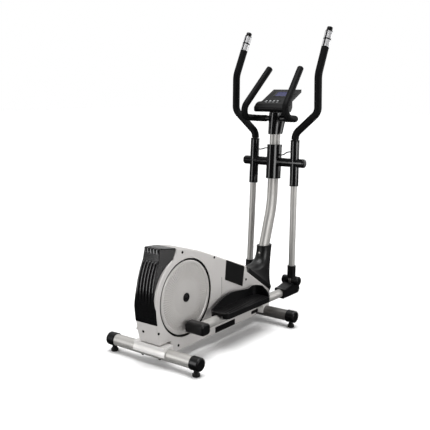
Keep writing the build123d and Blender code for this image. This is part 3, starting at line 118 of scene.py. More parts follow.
def makeStudio():
    scene = bpy.context.scene
    scene.view_settings.view_transform = "Standard"
    world = bpy.data.worlds.new("whiteSweep")
    world.use_nodes = True
    tree = world.node_tree
    ray = addNode(tree, "ShaderNodeLightPath")
    toward = addNode(tree, "ShaderNodeTexCoord").outputs["Generated"]
    facing = addNode(tree, "ShaderNodeVectorMath", {"operation": "DOT_PRODUCT", 1: studio["backdropAim"]},
                     {0: toward})
    start, stop = studio["backdropBlend"]
    sweep = addNode(tree, "ShaderNodeMapRange",
                    {"interpolation_type": "SMOOTHSTEP", "From Min": start, "From Max": stop,
                     "To Min": studio["cameraSide"], "To Max": studio["backdrop"]},
                    {"Value": facing.outputs["Value"]})
    glow = addNode(tree, "ShaderNodeMix", {3: 1.0},
                   {0: ray.outputs["Is Camera Ray"], 2: sweep.outputs["Result"]})
    background = tree.nodes["Background"]
    background.inputs["Color"].default_value = (1.0, 1.0, 1.0, 1.0)
    tree.links.new(glow.outputs[0], background.inputs["Strength"])
    scene.world = world
    for name, place, aim, size, power in studio["softBoxes"]:
        data = bpy.data.lights.new(name, "AREA")
        data.shape = "RECTANGLE"
        data.size, data.size_y = size
        data.energy = power
        light = bpy.data.objects.new(name, data)
        light.location = at(*place)
        light.rotation_euler = (at(*aim) - at(*place)).to_track_quat("-Z", "Y").to_euler()
        scene.collection.objects.link(light)
    strength, spread, tilt = studio["sun"]
    data = bpy.data.lights.new("overheadPanel", "SUN")
    data.energy = strength
    data.angle = math.radians(spread)
    light = bpy.data.objects.new("overheadPanel", data)
    light.rotation_euler = [math.radians(a) for a in tilt]
    scene.collection.objects.link(light)
    material = bpy.data.materials.new("whitePaperSweep")
    material.use_nodes = True
    tree = material.node_tree
    shader = tree.nodes["Principled BSDF"]
    shader.inputs["Roughness"].default_value = studio["floorRoughness"]
    shader.inputs["Specular IOR Level"].default_value = 0.0
    ray = addNode(tree, "ShaderNodeLightPath")
    tone = addNode(tree, "ShaderNodeMix",
                   {"data_type": "RGBA", 6: linear(studio["floorColour"]), 7: linear(studio["floorInGloss"])},
                   {0: ray.outputs["Is Glossy Ray"]})
    tree.links.new(tone.outputs[2], shader.inputs["Base Color"])
    mesh = bpy.data.meshes.new("floor")
    bm = bmesh.new()
    bmesh.ops.create_grid(bm, x_segments=1, y_segments=1, size=studio["floorHalf"])
    bm.to_mesh(mesh)
    bm.free()
    mesh.materials.append(material)
    floor = bpy.data.objects.new("floor", mesh)
    scene.collection.objects.link(floor)


makeStudio()
print("camera and studio ready")


# One finish: colour and roughness drift a little over the surface, and a fine grain breaks the light.
# Flake, where a paint has it, lightens scattered cells of the stated size.
flakeFrom = 0.75  # only the brightest quarter of the cells shine
driftDetail = 4.0
grainDetail = 2.0


def makeFinish(name, look):
    material = bpy.data.materials.new(name)
    material.use_nodes = True
    tree = material.node_tree
    shader = tree.nodes["Principled BSDF"]
    for socket in ("Metallic", "IOR", "Specular IOR Level"):
        if socket in look:
            shader.inputs[socket].default_value = look[socket]
    place = addNode(tree, "ShaderNodeTexCoord").outputs["Object"]
    drift = addNode(tree, "ShaderNodeTexNoise", {"Scale": 1000 / look["driftMm"], "Detail": driftDetail},
                    {"Vector": place})
    tint = addNode(tree, "ShaderNodeMix",
                   {"data_type": "RGBA", 6: linear(look["colour"]), 7: linear(look["deep"])},
                   {0: drift.outputs["Fac"]}).outputs[2]
    if "flakeMm" in look:
        flake = addNode(tree, "ShaderNodeTexVoronoi", {"Scale": 1000 / look["flakeMm"]}, {"Vector": place})
        shine = addNode(tree, "ShaderNodeMapRange",
                        {"From Min": flakeFrom, "From Max": 1.0, "To Min": 0.0, "To Max": look["flake"]},
                        {"Value": flake.outputs["Color"]})
        tint = addNode(tree, "ShaderNodeMix", {"data_type": "RGBA", 7: (1.0, 1.0, 1.0, 1.0)},
                       {0: shine.outputs["Result"], 6: tint}).outputs[2]
    low, high = look["roughness"]
    sheen = addNode(tree, "ShaderNodeMapRange", {"To Min": low, "To Max": high}, {"Value": drift.outputs["Fac"]})
    grain = addNode(tree, "ShaderNodeTexNoise", {"Scale": 1000 / look["grainMm"], "Detail": grainDetail},
                    {"Vector": place})
    bump = addNode(tree, "ShaderNodeBump", {"Strength": look["grain"], "Distance": look["grainMm"] * mm / 4},
                   {"Height": grain.outputs["Fac"]})
    tree.links.new(tint, shader.inputs["Base Color"])
    tree.links.new(sheen.outputs["Result"], shader.inputs["Roughness"])
    tree.links.new(bump.outputs["Normal"], shader.inputs["Normal"])
    return material


# Painted steel tube: metal flake in a satin paint, so light runs along it in soft bands
silverTube = makeFinish("satinSilverPaintOnSteel", {
    "colour": "#BCBAB7", "deep": "#B2B0AC", "driftMm": 60, "roughness": (0.42, 0.50), "grainMm": 1.2, "grain": 0.03,
    "flakeMm": 1.4, "flake": 0.10, "Metallic": 0.6})
# Moulded ABS sprayed silver: flatter than the tubes, with a little orange peel and fine flake
silverShell = makeFinish("silverSprayedAbs", {
    "colour": "#CAC7C5", "deep": "#C2BFBC", "driftMm": 140, "roughness": (0.36, 0.44), "grainMm": 1.5,
    "grain": 0.03, "flakeMm": 1.6, "flake": 0.08, "Metallic": 0.25})
# The same spray on the crank discs, a little glossier
silverDisc = makeFinish("silverSprayedDisc", {
    "colour": "#C9C6C3", "deep": "#C0BDBA", "driftMm": 90, "roughness": (0.30, 0.38), "grainMm": 1.5, "grain": 0.03,
    "flakeMm": 1.6, "flake": 0.08, "Metallic": 0.35})
# Silver powder coat on the saddles, painted paler than the tubes they seat: painted light for the lit tops they
# cover
saddlePaintWithPaintedLight = makeFinish("silverPowderCoatWithPaintedLight", {
    "colour": "#DEDCDA", "deep": "#D4D2CF", "driftMm": 60, "roughness": (0.34, 0.42), "grainMm": 1.4, "grain": 0.04,
    "flakeMm": 1.4, "flake": 0.08, "Metallic": 0.2})
# Front tube: the silver tube paint with the same flake, darkened to grey as painted shade for the body's shadow
# over it
frontTubeShadedPaint = makeFinish("silverPaintOnSteelWithPaintedShade", {
    "colour": "#6E6C6A", "deep": "#646260", "driftMm": 60, "roughness": (0.30, 0.38), "grainMm": 1.2, "grain": 0.03,
    "flakeMm": 1.4, "flake": 0.10, "Metallic": 0.6})
# Black gloss ABS: deep black with crisp soft-box reflections
glossBlack = makeFinish("glossBlackAbs", {
    "colour": "#050506", "deep": "#09090A", "driftMm": 80, "roughness": (0.16, 0.24), "grainMm": 2.0, "grain": 0.02,
    "IOR": 1.5})
# The boot's softer gloss: the same black with a fine satin texture
bootBlack = makeFinish("satinBlackAbs", {
    "colour": "#060607", "deep": "#0A0A0B", "driftMm": 80, "roughness": (0.36, 0.44), "grainMm": 1.6, "grain": 0.03,
    "IOR": 1.5})
# Black moulded polypropylene: spark-eroded grain that breaks the highlights. The same black is painted shade in the
# gap round each disc and on the vent and slot floors
matteBlackAndShade = makeFinish("blackPolypropyleneAndPaintedShade", {
    "colour": "#070708", "deep": "#0C0C0D", "driftMm": 50, "roughness": (0.36, 0.48), "grainMm": 1.2, "grain": 0.18,
    "IOR": 1.49, "Specular IOR Level": 0.22})
# Black moulded nylon with a satin skin on covers, caps and tees
satinBlack = makeFinish("mouldedBlackNylon", {
    "colour": "#070708", "deep": "#0C0C0D", "driftMm": 40, "roughness": (0.26, 0.36), "grainMm": 1.2, "grain": 0.08,
    "IOR": 1.53, "Specular IOR Level": 0.3})
# The black gloss panel beside the rear cover, lightened to dark grey as a painted sheen; the same grey is painted
# shade in the shells' moulded line
greySheenAndShade = makeFinish("darkGreyPaintedSheenAndShade", {
    "colour": "#242323", "deep": "#2B2A2A", "driftMm": 90, "roughness": (0.22, 0.30), "grainMm": 1.0, "grain": 0.10,
    "IOR": 1.5})
# Black powder coat on the frame and the handle tubes: satin with a fine stipple
blackPaint = makeFinish("blackPowderCoat", {
    "colour": "#0B0B0C", "deep": "#111112", "driftMm": 50, "roughness": (0.24, 0.33), "grainMm": 1.2, "grain": 0.08,
    "IOR": 1.5})
# Closed-cell nitrile foam: dull, with a fine open skin
gripFoam = makeFinish("blackNitrileFoam", {
    "colour": "#080809", "deep": "#0E0E0F", "driftMm": 25, "roughness": (0.50, 0.65), "grainMm": 1.8, "grain": 0.5,
    "IOR": 1.45, "Specular IOR Level": 0.14})
# Moulded rubber feet, belt and cables: dull black with a slightly grey bloom
footRubber = makeFinish("mouldedBlackRubber", {
    "colour": "#101010", "deep": "#181818", "driftMm": 20, "roughness": (0.5, 0.65), "grainMm": 1.0, "grain": 0.2,
    "IOR": 1.5})
# Nickel-plated bolts, dulled by handling
dulledBolt = makeFinish("nickelPlatedSteel", {
    "colour": "#77746F", "deep": "#68655F", "driftMm": 15, "roughness": (0.32, 0.42), "grainMm": 0.8, "grain": 0.05,
    "Metallic": 1.0})
# Blackened screws in the shells: dark with a dull metal edge
darkScrew = makeFinish("blackOxideSteel", {
    "colour": "#131312", "deep": "#1A1918", "driftMm": 8, "roughness": (0.35, 0.45), "grainMm": 0.8, "grain": 0.05,
    "Metallic": 0.8})
# Stainless pulse plates brushed to a soft satin, their colour raised near white and partly diffuse: a painted sheen
# for their bright reflections
pulsePlateWithPaintedSheen = makeFinish("satinStainlessWithPaintedSheen", {
    "colour": "#F0F0F1", "deep": "#E2E2E4", "driftMm": 30, "roughness": (0.40, 0.48), "grainMm": 1.0, "grain": 0.03,
    "Metallic": 0.8})
# Machined steel inside the housing: turned, with a dull sheen
machinedSteel = makeFinish("machinedSteel", {
    "colour": "#8F8D8A", "deep": "#7F7D7A", "driftMm": 10, "roughness": (0.3, 0.42), "grainMm": 0.6, "grain": 0.1,
    "Metallic": 1.0})
# Painted iron casting: rough skin under a dark coat
castIron = makeFinish("paintedCastIron", {
    "colour": "#2B2B2C", "deep": "#353434", "driftMm": 15, "roughness": (0.5, 0.65), "grainMm": 2.0, "grain": 0.3,
    "Metallic": 0.5})
# Console keys: pale grey moulding that catches the light
keyGrey = makeFinish("mouldedGreyKeys", {
    "colour": "#D2D4D6", "deep": "#C6C8CA", "driftMm": 10, "roughness": (0.32, 0.42), "grainMm": 0.8, "grain": 0.05,
    "IOR": 1.5})
# Clear window over a blue liquid crystal: violet-blue and glassy
blueDisplay = makeFinish("blueDisplayWindow", {
    "colour": "#25265A", "deep": "#2F3066", "driftMm": 14, "roughness": (0.1, 0.16), "grainMm": 2.0, "grain": 0.0,
    "IOR": 1.5})
# Dark liquid-crystal segments under the window
segmentInk = makeFinish("liquidCrystalSegments", {
    "colour": "#1B1C3A", "deep": "#222344", "driftMm": 14, "roughness": (0.15, 0.2), "grainMm": 2.0, "grain": 0.0,
    "IOR": 1.5})
# Printed vinyl film: flat black with a soft sheen; the same black is painted shade in the console's side slot
blackFilmAndSlotShade = makeFinish("blackVinylFilmAndSlotShade", {
    "colour": "#0A0A0A", "deep": "#0F0F0F", "driftMm": 60, "roughness": (0.30, 0.38), "grainMm": 3.0, "grain": 0.02,
    "IOR": 1.5})

nodeFinishes = (
    # saddles: painted light, a paler copy of the silver paint
    (saddlePaintWithPaintedLight, ("stabiliser_saddles",)),
    # front stabiliser: painted shade, the tube paint darkened to grey
    (frontTubeShadedPaint, ("front_stabiliser",)),
    (silverTube, ("rear_stabiliser", "mast_tube", "left_swing_tube",
                  "right_swing_tube", "left_pedal_arm", "right_pedal_arm")),
    (silverShell, ("left_side_shell", "right_side_shell")),
    (silverDisc, ("crank_discs",)),
    (bootBlack, ("mast_boot",)),
    (glossBlack, ("rear_cover", "pivot_clamp_cover", "handlebar_cover", "left_pivot_sleeve",
                  "right_pivot_sleeve", "pivot_shaft")),
    (satinBlack, ("stabiliser_end_caps", "left_swing_tee", "right_swing_tee",
                  "left_joint_cover", "right_joint_cover", "left_crank_cover", "right_crank_cover")),
    (matteBlackAndShade, ("console_body", "hub_caps", "drive_pulley", "left_foot_pedal", "right_foot_pedal",
                  "servo_motor")),
    # rear panels: black gloss lightened to grey, a painted sheen
    (greySheenAndShade, ("rear_panels",)),
    (blackPaint, ("main_frame", "fixed_handlebar")),
    (gripFoam, ("fixed_grips", "left_handle", "right_handle")),
    (footRubber, ("rear_left_foot", "rear_right_foot", "front_left_foot", "front_right_foot", "drive_belt",
                  "left_pulse_cable", "right_pulse_cable")),
    (dulledBolt, ("saddle_bolts",)),
    (darkScrew, ("shell_screws",)),
    # pulse plates: partly painted sheen, a near-white colour standing in for their reflections
    (pulsePlateWithPaintedSheen, ("left_pulse_plates", "right_pulse_plates")),
    (machinedSteel, ("crank_axle", "crank_arms", "crank_bearings", "flywheel_axle", "brake_shoe")),
    (castIron, ("flywheel",)),
    (keyGrey, ("menu_button", "down_button", "up_button", "reset_button", "pulse_button")),
    (blueDisplay, ("console_lens",)),
)
for finish, names in nodeFinishes:
    for name in names:
        mesh = nodes[name].data
        mesh.materials.clear()
        mesh.materials.append(finish)
print("finishes on", sum(len(names) for finish, names in nodeFinishes), "nodes")


# Steps along a bend of any curve, and smallest gap between two corners of a mesh
curveSteps = 12
weld = 0.001

# Pulse cables: a short black lead from each sleeve to the pivot cover
pulseCables = {
    "diameter": 6.5, "along": 1060.0, "round": 4, "order": 3,
    "sides": {
        "right": (-1, [(110.5, 952.0), (97.0, 952.0), (80.0, 945.0), (62.0, 931.0), (43.5, 931.0)]),
        "left": (1, [(110.5, 957.0), (96.0, 957.0), (79.0, 960.0), (61.0, 967.5), (43.5, 967.5)]),
    },
}


def curveMesh(name, points, bevel):
    data = bpy.data.curves.new(name, "CURVE")
    data.dimensions = "3D"
    data.resolution_u = curveSteps
    data.bevel_depth = bevel
    data.bevel_resolution = pulseCables["round"]
    spline = data.splines.new("NURBS")
    spline.points.add(len(points) - 1)
    for knot, point in zip(spline.points, points):
        knot.co = (*point, 1.0)
    spline.order_u = pulseCables["order"]
    spline.use_endpoint_u = True
    curve = bpy.data.objects.new(name, data)
    bpy.context.scene.collection.objects.link(curve)
    bpy.context.view_layer.update()
    mesh = bpy.data.meshes.new_from_object(curve.evaluated_get(bpy.context.evaluated_depsgraph_get()))
    bpy.data.objects.remove(curve)
    bpy.data.curves.remove(data)
    mesh.name = name
    return mesh


def makePulseCables():
    for side, (sign, route) in pulseCables["sides"].items():
        points = [at(pulseCables["along"], sign * y, z) for y, z in route]
        name = side + "PulseCable"
        line = curveMesh(name + "Line", points, 0.0)
        bpy.data.meshes.remove(line)
        mesh = curveMesh(name, points, pulseCables["diameter"] * mm / 2)
        mesh.materials.clear()
        mesh.materials.append(footRubber)
        mesh.polygons.foreach_set("use_smooth", [True] * len(mesh.polygons))
        cable = bpy.data.objects.new(name, mesh)
        bpy.context.scene.collection.objects.link(cable)
        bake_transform(cable)
        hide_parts(side + "_pulse_cable")


makePulseCables()


# Puts a finished mesh, drawn in millimetres from the rear stabiliser, on its body
def settle(bm, name, finish, body, stands=(), sharp=32.0):
    bmesh.ops.transform(bm, matrix=toFrame, verts=bm.verts)
    mesh = bpy.data.meshes.new(name)
    bm.to_mesh(mesh)
    bm.free()
    mesh.materials.append(finish)
    mesh.polygons.foreach_set("use_smooth", [True] * len(mesh.polygons))
    mesh.set_sharp_from_angle(angle=math.radians(sharp))
    piece = bpy.data.objects.new(name, mesh)
    bpy.context.scene.collection.objects.link(piece)
    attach(piece, body)
    if stands:
        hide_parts(*stands)
    print(name, len(mesh.polygons), "faces")
    return piece


# What an operator has just added to a mesh
def fresh(bm, known):
    verts = [v for v in bm.verts if v not in known]
    edges = [e for e in bm.edges if e.verts[0] not in known and e.verts[1] not in known]
    faces = [f for f in bm.faces if all(v not in known for v in f.verts)]
    return verts, edges, faces


# The verts, edges or faces among what an operator returns
def only(geom, kind):
    return [g for g in geom if isinstance(g, kind)]


# Rounds edges or corners off
def roundOff(bm, geom, offset, segments, affect="EDGES"):
    bmesh.ops.bevel(bm, geom=geom, offset=offset, offset_type="OFFSET", affect=affect, segments=segments,
                    profile=0.5, material=-1)


# Frame with its z along the cross axis, outwards on that side
def acrossAt(x, z, sign):
    return Matrix.Translation((x, 0.0, z)) @ Matrix.Rotation(-sign * math.pi / 2, 4, "X")


# Turns a profile of (radius, height) points about z, then puts it in place
def turn(bm, profile, place, steps=48):
    known = set(bm.verts)
    ring = [bm.verts.new((radius, 0.0, height)) for radius, height in profile]
    edges = [bm.edges.new(pair) for pair in zip(ring, ring[1:])]
    bmesh.ops.spin(bm, geom=ring + edges, cent=(0.0, 0.0, 0.0), axis=(0.0, 0.0, 1.0), angle=math.tau,
                   steps=steps, use_merge=True)
    bmesh.ops.remove_doubles(bm, verts=fresh(bm, known)[0], dist=weld)
    verts, edges, faces = fresh(bm, known)
    bmesh.ops.recalc_face_normals(bm, faces=faces)
    bmesh.ops.transform(bm, matrix=place, verts=verts)


# Flat plate with rounded corners, raised along z; a ring where a band is given, and with its lip rounded
# where a rim is given
lipAngle = 1.0  # in radians: where the top turns into the sides


def plate(bm, outline, thick, corner, place, band=0.0, rim=0.0):
    known = set(bm.verts)
    verts = [bm.verts.new((x, y, 0.0)) for x, y in outline]
    bm.faces.new(verts)
    if corner:
        roundOff(bm, verts, corner, 4, "VERTICES")
    faces = fresh(bm, known)[2]
    if band:
        middle = faces[0]
        faces = bmesh.ops.inset_region(bm, faces=[middle], thickness=band, use_boundary=True,
                                       use_even_offset=True)["faces"]
        bmesh.ops.delete(bm, geom=[middle], context="FACES_ONLY")
    top = only(bmesh.ops.extrude_face_region(bm, geom=faces)["geom"], bmesh.types.BMVert)
    bmesh.ops.translate(bm, vec=(0.0, 0.0, thick), verts=top)
    if rim:
        lip = [e for e in fresh(bm, known)[1] if min(v.co.z for v in e.verts) > thick / 2
               and len(e.link_faces) == 2 and e.calc_face_angle(0.0) > lipAngle]
        roundOff(bm, lip, rim, 2)
    verts, edges, faces = fresh(bm, known)
    bmesh.ops.recalc_face_normals(bm, faces=faces)
    bmesh.ops.transform(bm, matrix=place, verts=verts)


def rectangle(long, wide):
    return ((-long / 2, -wide / 2), (long / 2, -wide / 2), (long / 2, wide / 2), (-long / 2, wide / 2))


# Crank discs: a rounded bright rim over a black band of painted shade for the gap round it, round a shallow dish
# with rays that fade inwards
crankDiscs = {
    "centre": (172.0, 300.0),
    "profile": ((0.0, 58.0), (34.0, 58.0), (34.0, 60.0), (186.0, 60.0), (186.0, 63.2), (184.6, 64.9),
                (182.0, 65.8), (178.5, 66.0), (175.0, 65.7), (171.5, 64.8), (168.6, 63.4), (167.0, 61.0),
                (150.0, 61.2), (120.0, 62.4), (100.0, 63.7), (86.0, 64.4), (70.0, 65.2), (50.0, 65.8),
                (30.0, 66.0), (0.0, 66.0)),
    "gapShadeBand": ((185.0, 60.0), (190.0, 60.0), (190.0, 61.4), (189.4, 62.0), (185.0, 62.0), (185.0, 60.0)),
    "steps": 160, "rays": 80, "rayEnds": (84.0, 168.6), "rayWidths": (4.4, 8.2), "rayTops": (64.4, 63.5),
    "rayFoot": 60.8, "rayEdge": 0.7,
}


def makeCrankDiscs():
    bm = bmesh.new()
    look = crankDiscs
    for sign in (-1, 1):
        place = acrossAt(*look["centre"], sign)
        turn(bm, look["profile"], place, look["steps"])
        known = set(bm.verts)
        for v in bmesh.ops.create_cube(bm, size=1.0)["verts"]:
            end = 1 if v.co.x > 0 else 0
            height = look["rayTops"][end] if v.co.z > 0 else look["rayFoot"]
            v.co = (look["rayEnds"][end], v.co.y * look["rayWidths"][end], height)
        top = [e for e in fresh(bm, known)[1] if min(v.co.z for v in e.verts) > look["rayFoot"]]
        roundOff(bm, top, look["rayEdge"], 2)
        verts, edges, faces = fresh(bm, known)
        others = look["rays"] - 1
        bmesh.ops.spin(bm, geom=verts + edges + faces, cent=(0.0, 0.0, 0.0), axis=(0.0, 0.0, 1.0),
                       angle=math.tau * others / look["rays"], steps=others, use_duplicate=True)
        bmesh.ops.transform(bm, matrix=place, verts=fresh(bm, known)[0])
    settle(bm, "crankDiscs", silverDisc, "crank", ("crank_discs",))
    # painted shade: a matte black ring behind each rim fills the gap round the disc
    bm = bmesh.new()
    for sign in (-1, 1):
        turn(bm, look["gapShadeBand"], acrossAt(*look["centre"], sign), look["steps"])
    settle(bm, "discGapShadeBands", matteBlackAndShade, "crank")


makeCrankDiscs()

# Hub caps: a dark stepped button in the middle of each disc
hubCaps = {"profile": ((0.0, 65.5), (23.0, 65.5), (23.0, 67.4), (22.4, 68.8), (21.0, 69.5), (16.0, 69.6),
                       (15.0, 68.6), (10.0, 68.6), (9.0, 70.0), (7.5, 70.9), (0.0, 71.0))}


def makeHubCaps():
    bm = bmesh.new()
    for sign in (-1, 1):
        turn(bm, hubCaps["profile"], acrossAt(*crankDiscs["centre"], sign))
    settle(bm, "hubCaps", satinBlack, "crank", ("hub_caps",))


makeHubCaps()

# Rear cover: one sheet bent up the back and over the top, fluted below the waist and at the top edge
rearCover = {
    "foot": (-25.0, 108.0), "lowerMiddle": (-47.43, 200.0), "belly": (-56.86, 292.01),
    "upperMiddle": (-44.0, 430.0), "waist": (-9.0, 513.0), "topRear": (0.0, 573.0), "topFront": (102.6, 560.0),
    "bottom": 214.4, "half": 58.0, "wall": 3.2, "topRound": 7.0, "waistRound": 4.0, "ridgeNear": 0.1, "sharp": 40.0,
    "flutes": 6, "fluteCuts": 16, "fluteDepth": 6.0, "topShare": 0.5,
    "fluteZone": (296.0, 352.0, 500.0, 510.0), "topZone": (552.0, 560.0, 26.0, 34.0),
    "facet": ((103.0, 64.0, 560.0), (0.0, 46.0, 573.0), (-56.86, 62.0, 292.01)),
    "arcSteps": (8, 30), "backSteps": 8, "topSteps": 14,
}


def arcCentre(a, b, c):
    squares = [p[0] ** 2 + p[1] ** 2 for p in (a, b, c)]
    span = 2 * (a[0] * (b[1] - c[1]) + b[0] * (c[1] - a[1]) + c[0] * (a[1] - b[1]))
    x = (squares[0] * (b[1] - c[1]) + squares[1] * (c[1] - a[1]) + squares[2] * (a[1] - b[1])) / span
    z = (squares[0] * (c[0] - b[0]) + squares[1] * (a[0] - c[0]) + squares[2] * (b[0] - a[0])) / span
    return x, z


def rampUp(low, high, value):
    t = min(max((value - low) / (high - low), 0.0), 1.0)
    return t * t * (3 - 2 * t)


def rearArc(z):
    x, middle = arcCentre(rearCover["foot"], rearCover["lowerMiddle"], rearCover["belly"])
    radius = math.dist((x, middle), rearCover["belly"])
    return x - math.sqrt(radius ** 2 - (z - middle) ** 2)


# The two arcs up the back, each as its centre, the angle from its start to its end, and its steps
def rearSweeps():
    look = rearCover
    starts = ((rearArc(look["bottom"]), look["bottom"]), look["belly"])
    arcs = ((look["foot"], look["lowerMiddle"], look["belly"]), (look["belly"], look["upperMiddle"], look["waist"]))
    sweeps = []
    for start, arc, steps in zip(starts, arcs, look["arcSteps"]):
        x, z = arcCentre(*arc)
        angle = math.atan2(start[1] - z, start[0] - x) - math.atan2(arc[2][1] - z, arc[2][0] - x)
        sweeps.append(((x, 0.0, z), angle % math.tau, steps))
    return sweeps


# The slanting side facet: a point on it and the way it faces
def facetPlane(side):
    front, rear, base = [Vector((x, side * y, z)) for x, y, z in rearCover["facet"]]
    outward = (front - rear).cross(base - rear).normalized()
    if outward.y * side < 0:
        outward.negate()
    return rear, outward


def makeRearCover():
    look = rearCover
    bm = bmesh.new()
    ends = [bm.verts.new((rearArc(look["bottom"]), side * look["half"], look["bottom"])) for side in (-1, 1)]
    edge = bm.edges.new(ends)
    bmesh.ops.subdivide_edges(bm, edges=[edge], cuts=look["fluteCuts"] * look["flutes"] - 1)
    row = bm.verts[:] + bm.edges[:]
    for centre, angle, steps in rearSweeps():
        row = bmesh.ops.spin(bm, geom=row, cent=centre, axis=(0.0, 1.0, 0.0), angle=angle, steps=steps)["geom_last"]
    for start, stop, steps in ((look["waist"], look["topRear"], look["backSteps"]),
                               (look["topRear"], look["topFront"], look["topSteps"])):
        move = ((stop[0] - start[0]) / steps, 0.0, (stop[1] - start[1]) / steps)
        for step in range(steps):
            row = bmesh.ops.extrude_edge_only(bm, edges=only(row, bmesh.types.BMEdge))["geom"]
            bmesh.ops.translate(bm, vec=move, verts=only(row, bmesh.types.BMVert))
    for corner, offset in ((look["topRear"], look["topRound"]), (look["waist"], look["waistRound"])):
        near = {v for v in bm.verts if math.dist((v.co.x, v.co.z), corner) < look["ridgeNear"]}
        roundOff(bm, [e for e in bm.edges if near.issuperset(e.verts)], offset, 4)
    bmesh.ops.recalc_face_normals(bm, faces=bm.faces)
    if sum(f.normal.x for f in bm.faces) > 0:
        bmesh.ops.reverse_faces(bm, faces=bm.faces)
    bm.normal_update()
    pitch = 2 * look["half"] / look["flutes"]
    low, lowEnd, high, highEnd = look["fluteZone"]
    topLow, topFull, topEnd, topFade = look["topZone"]
    for v in bm.verts:
        across = 2 * (((v.co.y + look["half"]) / pitch) % 1.0) - 1
        hollow = 1 - math.sqrt(max(0.0, 1 - across * across))
        deep = rampUp(low, lowEnd, v.co.z) * (1 - rampUp(high, highEnd, v.co.z))
        deep += look["topShare"] * rampUp(topLow, topFull, v.co.z) * (1 - rampUp(topEnd, topFade, v.co.x))
        v.co -= v.normal * look["fluteDepth"] * hollow * deep
    for side in (-1, 1):
        point, outward = facetPlane(side)
        bmesh.ops.bisect_plane(bm, geom=bm.verts[:] + bm.edges[:] + bm.faces[:], plane_co=point, plane_no=outward,
                               clear_outer=True)
    bmesh.ops.solidify(bm, geom=bm.faces[:], thickness=look["wall"])
    settle(bm, "rearCover", glossBlack, "frame", ("rear_cover",), look["sharp"])


makeRearCover()

# Cover edges: a black band up each side of the cover, cut a little proud of the side
# panel, and below it a narrow strip that tapers out where the silver edge leaves the cover
coverEdges = {
    "corner": ((-0.12, 57.5), (-0.12, 65.6), (0.9, 67.8), (3.2, 68.7)),
    "bandDeep": 17.0, "proud": 0.7, "top": 571.0,
    "stripDeep": 5.0, "stripTop": 342.0, "stripTaper": ((57.5, 345.0), (68.7, 285.0)), "stripSteps": 10,
}


# Sweeps the edge's section from a point of the cover's outline along the arcs, and returns its end face
def sweepEdge(bm, side, start, deep, sweeps):
    corner = coverEdges["corner"]
    section = (*corner, (deep, corner[-1][1]), (deep, corner[0][1]))
    face = bm.faces.new([bm.verts.new((start[0] + x, side * y, start[1])) for x, y in section])
    row = [*face.verts, *face.edges, face]
    for centre, angle, steps in sweeps:
        row = bmesh.ops.spin(bm, geom=row, cent=centre, axis=(0.0, 1.0, 0.0), angle=angle, steps=steps)["geom_last"]
    return only(row, bmesh.types.BMFace)


# Cuts off what lies beyond a plane, and closes the cut
def trimOff(bm, known, point, outward):
    verts, edges, faces = fresh(bm, known)
    cut = bmesh.ops.bisect_plane(bm, geom=verts + edges + faces, plane_co=point, plane_no=outward,
                                 clear_outer=True)["geom_cut"]
    bmesh.ops.edgenet_fill(bm, edges=only(cut, bmesh.types.BMEdge))


def makeCoverEdges():
    look = rearCover
    lower, upper = rearSweeps()
    centre, angle = upper[:2]
    radius = math.dist((centre[0], centre[2]), look["belly"])
    heights = (look["belly"][1], coverEdges["stripTop"], look["waist"][1])
    base, strip, full = [math.asin((z - centre[2]) / radius) for z in heights]
    stripAngle = angle * (strip - base) / (full - base)
    foot = (rearArc(look["bottom"]), look["bottom"])
    rise = coverEdges["top"] - look["waist"][1]
    slope = (look["topRear"][0] - look["waist"][0]) / (look["topRear"][1] - look["waist"][1])
    bm = bmesh.new()
    for side in (-1, 1):
        known = set(bm.verts)
        end = sweepEdge(bm, side, look["belly"], coverEdges["bandDeep"], [upper])
        verts = only(bmesh.ops.extrude_face_region(bm, geom=end)["geom"], bmesh.types.BMVert)
        bmesh.ops.translate(bm, vec=(slope * rise, 0.0, rise), verts=verts)
        point, outward = facetPlane(side)
        trimOff(bm, known, point + outward * coverEdges["proud"], outward)
        known = set(bm.verts)
        sweepEdge(bm, side, foot, coverEdges["stripDeep"], [lower, (centre, stripAngle, coverEdges["stripSteps"])])
        inner, outer = [Vector((0.0, side * y, z)) for y, z in coverEdges["stripTaper"]]
        slant = outer - inner
        trimOff(bm, known, inner, Vector((0.0, -side * slant.z, side * slant.y)).normalized())
    bmesh.ops.holes_fill(bm, edges=[e for e in bm.edges if e.is_boundary])
    bmesh.ops.recalc_face_normals(bm, faces=bm.faces[:])
    settle(bm, "rearCoverEdges", glossBlack, "frame", (), look["sharp"])


makeCoverEdges()

# Trim on the side shells: plain black film, a louvred vent and a slot over black floors of painted shade, and a
# moulded line drawn in dark grey as painted shade
shellTrim = {
    "face": 68.0, "film": ((499.5, 424.0), (668.0, 354.0), (650.5, 245.0), (489.0, 318.0)),
    "filmThick": 0.6, "filmCorner": 5.0,
    "vent": (405.0, 580.0, 48.0, 79.0), "ventCorner": 3.0, "slot": (738.0, 805.0, 60.0, 79.0), "slotCorner": 8.0,
    "band": 3.0, "bandThick": 1.4, "shadeFloorInset": 1.0, "shadeFloorThick": 0.3,
    "slats": 5, "slatInset": 4.0, "slatWide": 2.4, "slatThick": 0.9,
    "line": (460.0, 462.0, 214.0, 340.0), "lineThick": 0.25, "lineCorner": 0.9,
}


# Middle, length and height of a box given by its sides
def boxAt(x0, x1, z0, z1):
    return Matrix.Translation(((x0 + x1) / 2, (z0 + z1) / 2, 0.0)), x1 - x0, z1 - z0


# A raised band round a thin black floor, the floor painted shade for the dark inside of the opening
def framedOpening(bm, place, long, high, corner, out):
    look = shellTrim
    inset = look["shadeFloorInset"]
    plate(bm, rectangle(long, high), out * look["bandThick"], corner, place, look["band"])
    # painted shade: the thin black floor inside the band
    plate(bm, rectangle(long - 2 * inset, high - 2 * inset), out * look["shadeFloorThick"], corner - inset, place)


